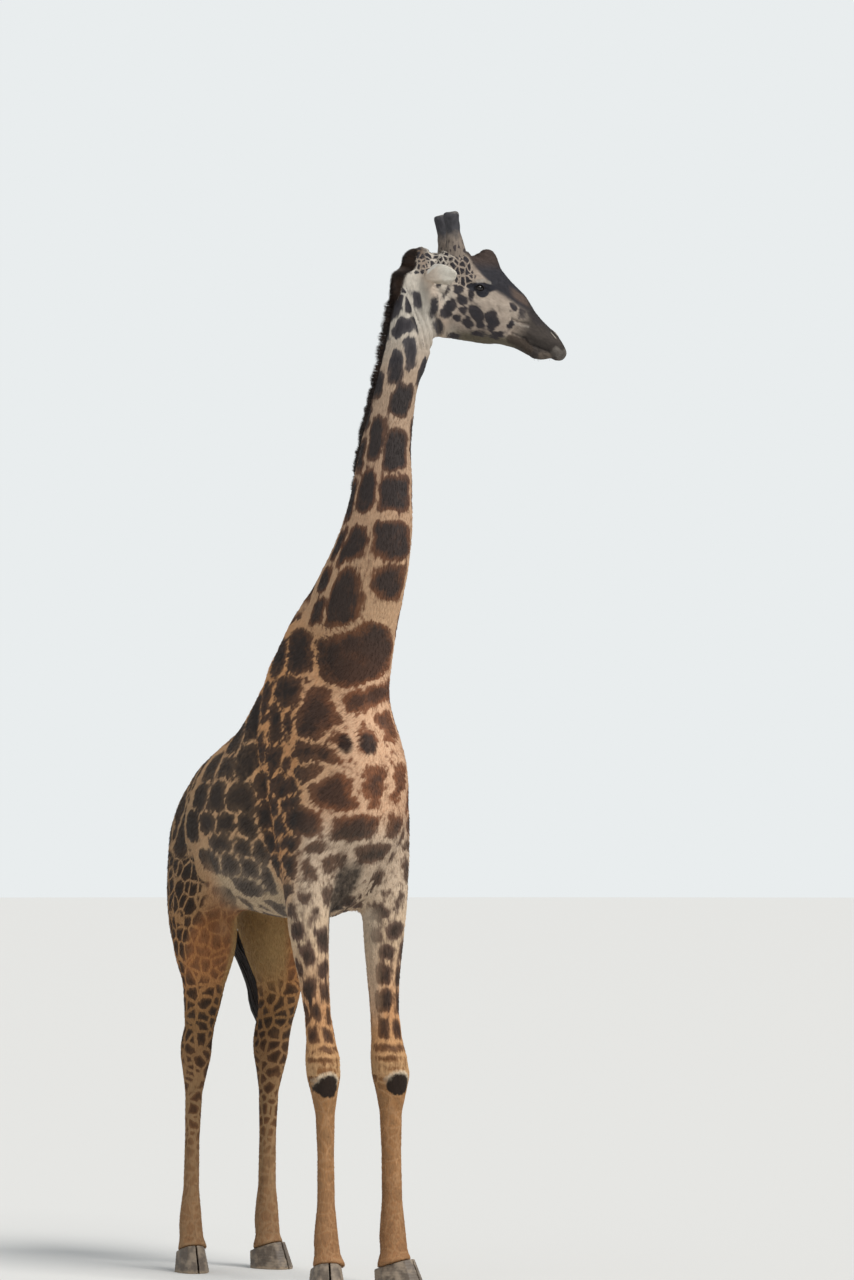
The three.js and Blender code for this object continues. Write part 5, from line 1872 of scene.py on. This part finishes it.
locks = []
for _ in range(LOCKS):
    turn = random.uniform(0, 2 * math.pi)
    out = math.sqrt(random.uniform(0.02, 1)) * 0.80
    top = high.z - random.uniform(0, 0.10)
    bottom = low.z + 0.012 + (top - low.z) * random.beta(1.1, 3.0) * 0.7
    heights = np.linspace(top, bottom, LOCK_STEPS)
    share = np.linspace(0, 1, LOCK_STEPS)
    middle = along(tassel_line, heights)
    swing = turn + 0.5 * np.sin(share * random.uniform(2, 5) + turn)
    radius = tassel_width(heights) * out * (1 - 0.25 * share)
    x = middle[:, 0] + radius * np.cos(swing)
    y = middle[:, 1] + radius * np.sin(swing)
    locks.append(swung(np.stack((x, y, heights), 1)))

# %% Tail hair
black_hair, tree, shader = new_material("black tail hair", Roughness=0.42, Specular_IOR_Level=0.4)
place_in = add_node(tree, "ShaderNodeTexCoord").outputs["Object"]
hue = noise(tree, scaled(tree, place_in, (1.0, 1.0, 0.05)), 380.0, 2.0)
tail_colour = blend_colours(tree, ramp(tree, hue, 0.35, 0.75), opaque("151314"), opaque("3A2F29"))
tree.links.new(tail_colour, shader.inputs["Base Color"])
tassel_hair = strands_from("tail_hair", locks, thickness=0.0028, sides=5, material=black_hair)
print("tail:", len(tassel_hair.data.polygons), "faces")

# %% Lashes
LASHES = 34

lashes = []
for side, sign in (("left", 1), ("right", -1)):
    for place_share in np.linspace(-0.92, 0.92, LASHES):
        ahead = SLIT_HALF[0] * place_share
        upwards = SLIT_HALF[1] * (1 - place_share**2) ** 0.8 + 0.0012
        f, u = turned_by(-SLIT_TILT, ahead, upwards)
        o = math.sqrt(EYE_RADIUS**2 - ahead**2 - upwards**2) + LID * 0.6
        steps = np.linspace(0, 1, 6)
        reach = random.uniform(0.012, 0.017)
        lash_f = f + steps * reach * (0.35 * place_share + random.uniform(-0.1, 0.1))
        lash_o = o + steps * reach * 0.85
        lash_u = u + reach * (-0.55 * steps + 0.35 * steps**2)
        lashes.append(eye_centres[side] + np.stack((lash_f, sign * lash_o, lash_u), 1) @ head_axes)
lash_hair = strands_from("eyelashes", lashes, thickness=0.00055, sides=4, material=black_hair)

# %% Bristles of the chin
BRISTLES = 46

on_chin = (b.forward > 0.55) & (b.forward < 0.67) & (b.up < -0.385)
chin_spots = [i for i in random.permutation(count) if on_chin[i]][:BRISTLES]
bristles = []
for i in chin_spots:
    steps = np.linspace(0, 1, 5)[:, None]
    reach = random.uniform(0.006, 0.012)
    droop = np.array((0, 0, -0.4)) + 0.25 * head_ahead
    bristles.append(b.points[i] + reach * steps * b.outwards[i] + reach * steps**2 * droop)
bristle_hair = strands_from("chin_bristles", bristles, thickness=0.0004, sides=4, material=black_hair)
print(len(lashes), "lashes,", len(bristles), "bristles")

# %% [markdown]
# ## Hand the pieces to the frame
# Every piece rides on the one body, and the solids it stands for are hidden. The tools that only
# served to make hair are removed first, and so is the skin's unwrap, since only the coat's tufts need it.

# %% Hand each piece to the frame
def hand_over(piece, slot, *replaced):
    """Puts a piece on the root body and hides the solids it replaces. The slot is not used."""
    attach(piece, "root")
    if replaced:
        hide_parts(*replaced)


bpy.data.objects.remove(tuft)
bpy.data.objects.remove(long_hair)
skin_mesh.uv_layers.remove(skin_mesh.uv_layers["unwrap"])
hand_over(skin, "coat", *FLESH)
for piece in coat_pieces:
    hand_over(piece, "coat")
hand_over(mane_hair, "hair", "mane")
hand_over(tassel_hair, "hair", "tail_tassel")
hand_over(lash_hair, "hair")
hand_over(bristle_hair, "hair")
for piece, side in zip(eyeballs, ("left", "right")):
    hand_over(piece, "eye", f"eye_{side}")
for piece, side in zip(horns, ("left", "right")):
    hand_over(piece, "horn", f"ossicone_{side}")
for piece in toes:
    hand_over(piece, "hoof", piece.name.replace("toe", "hoof"))
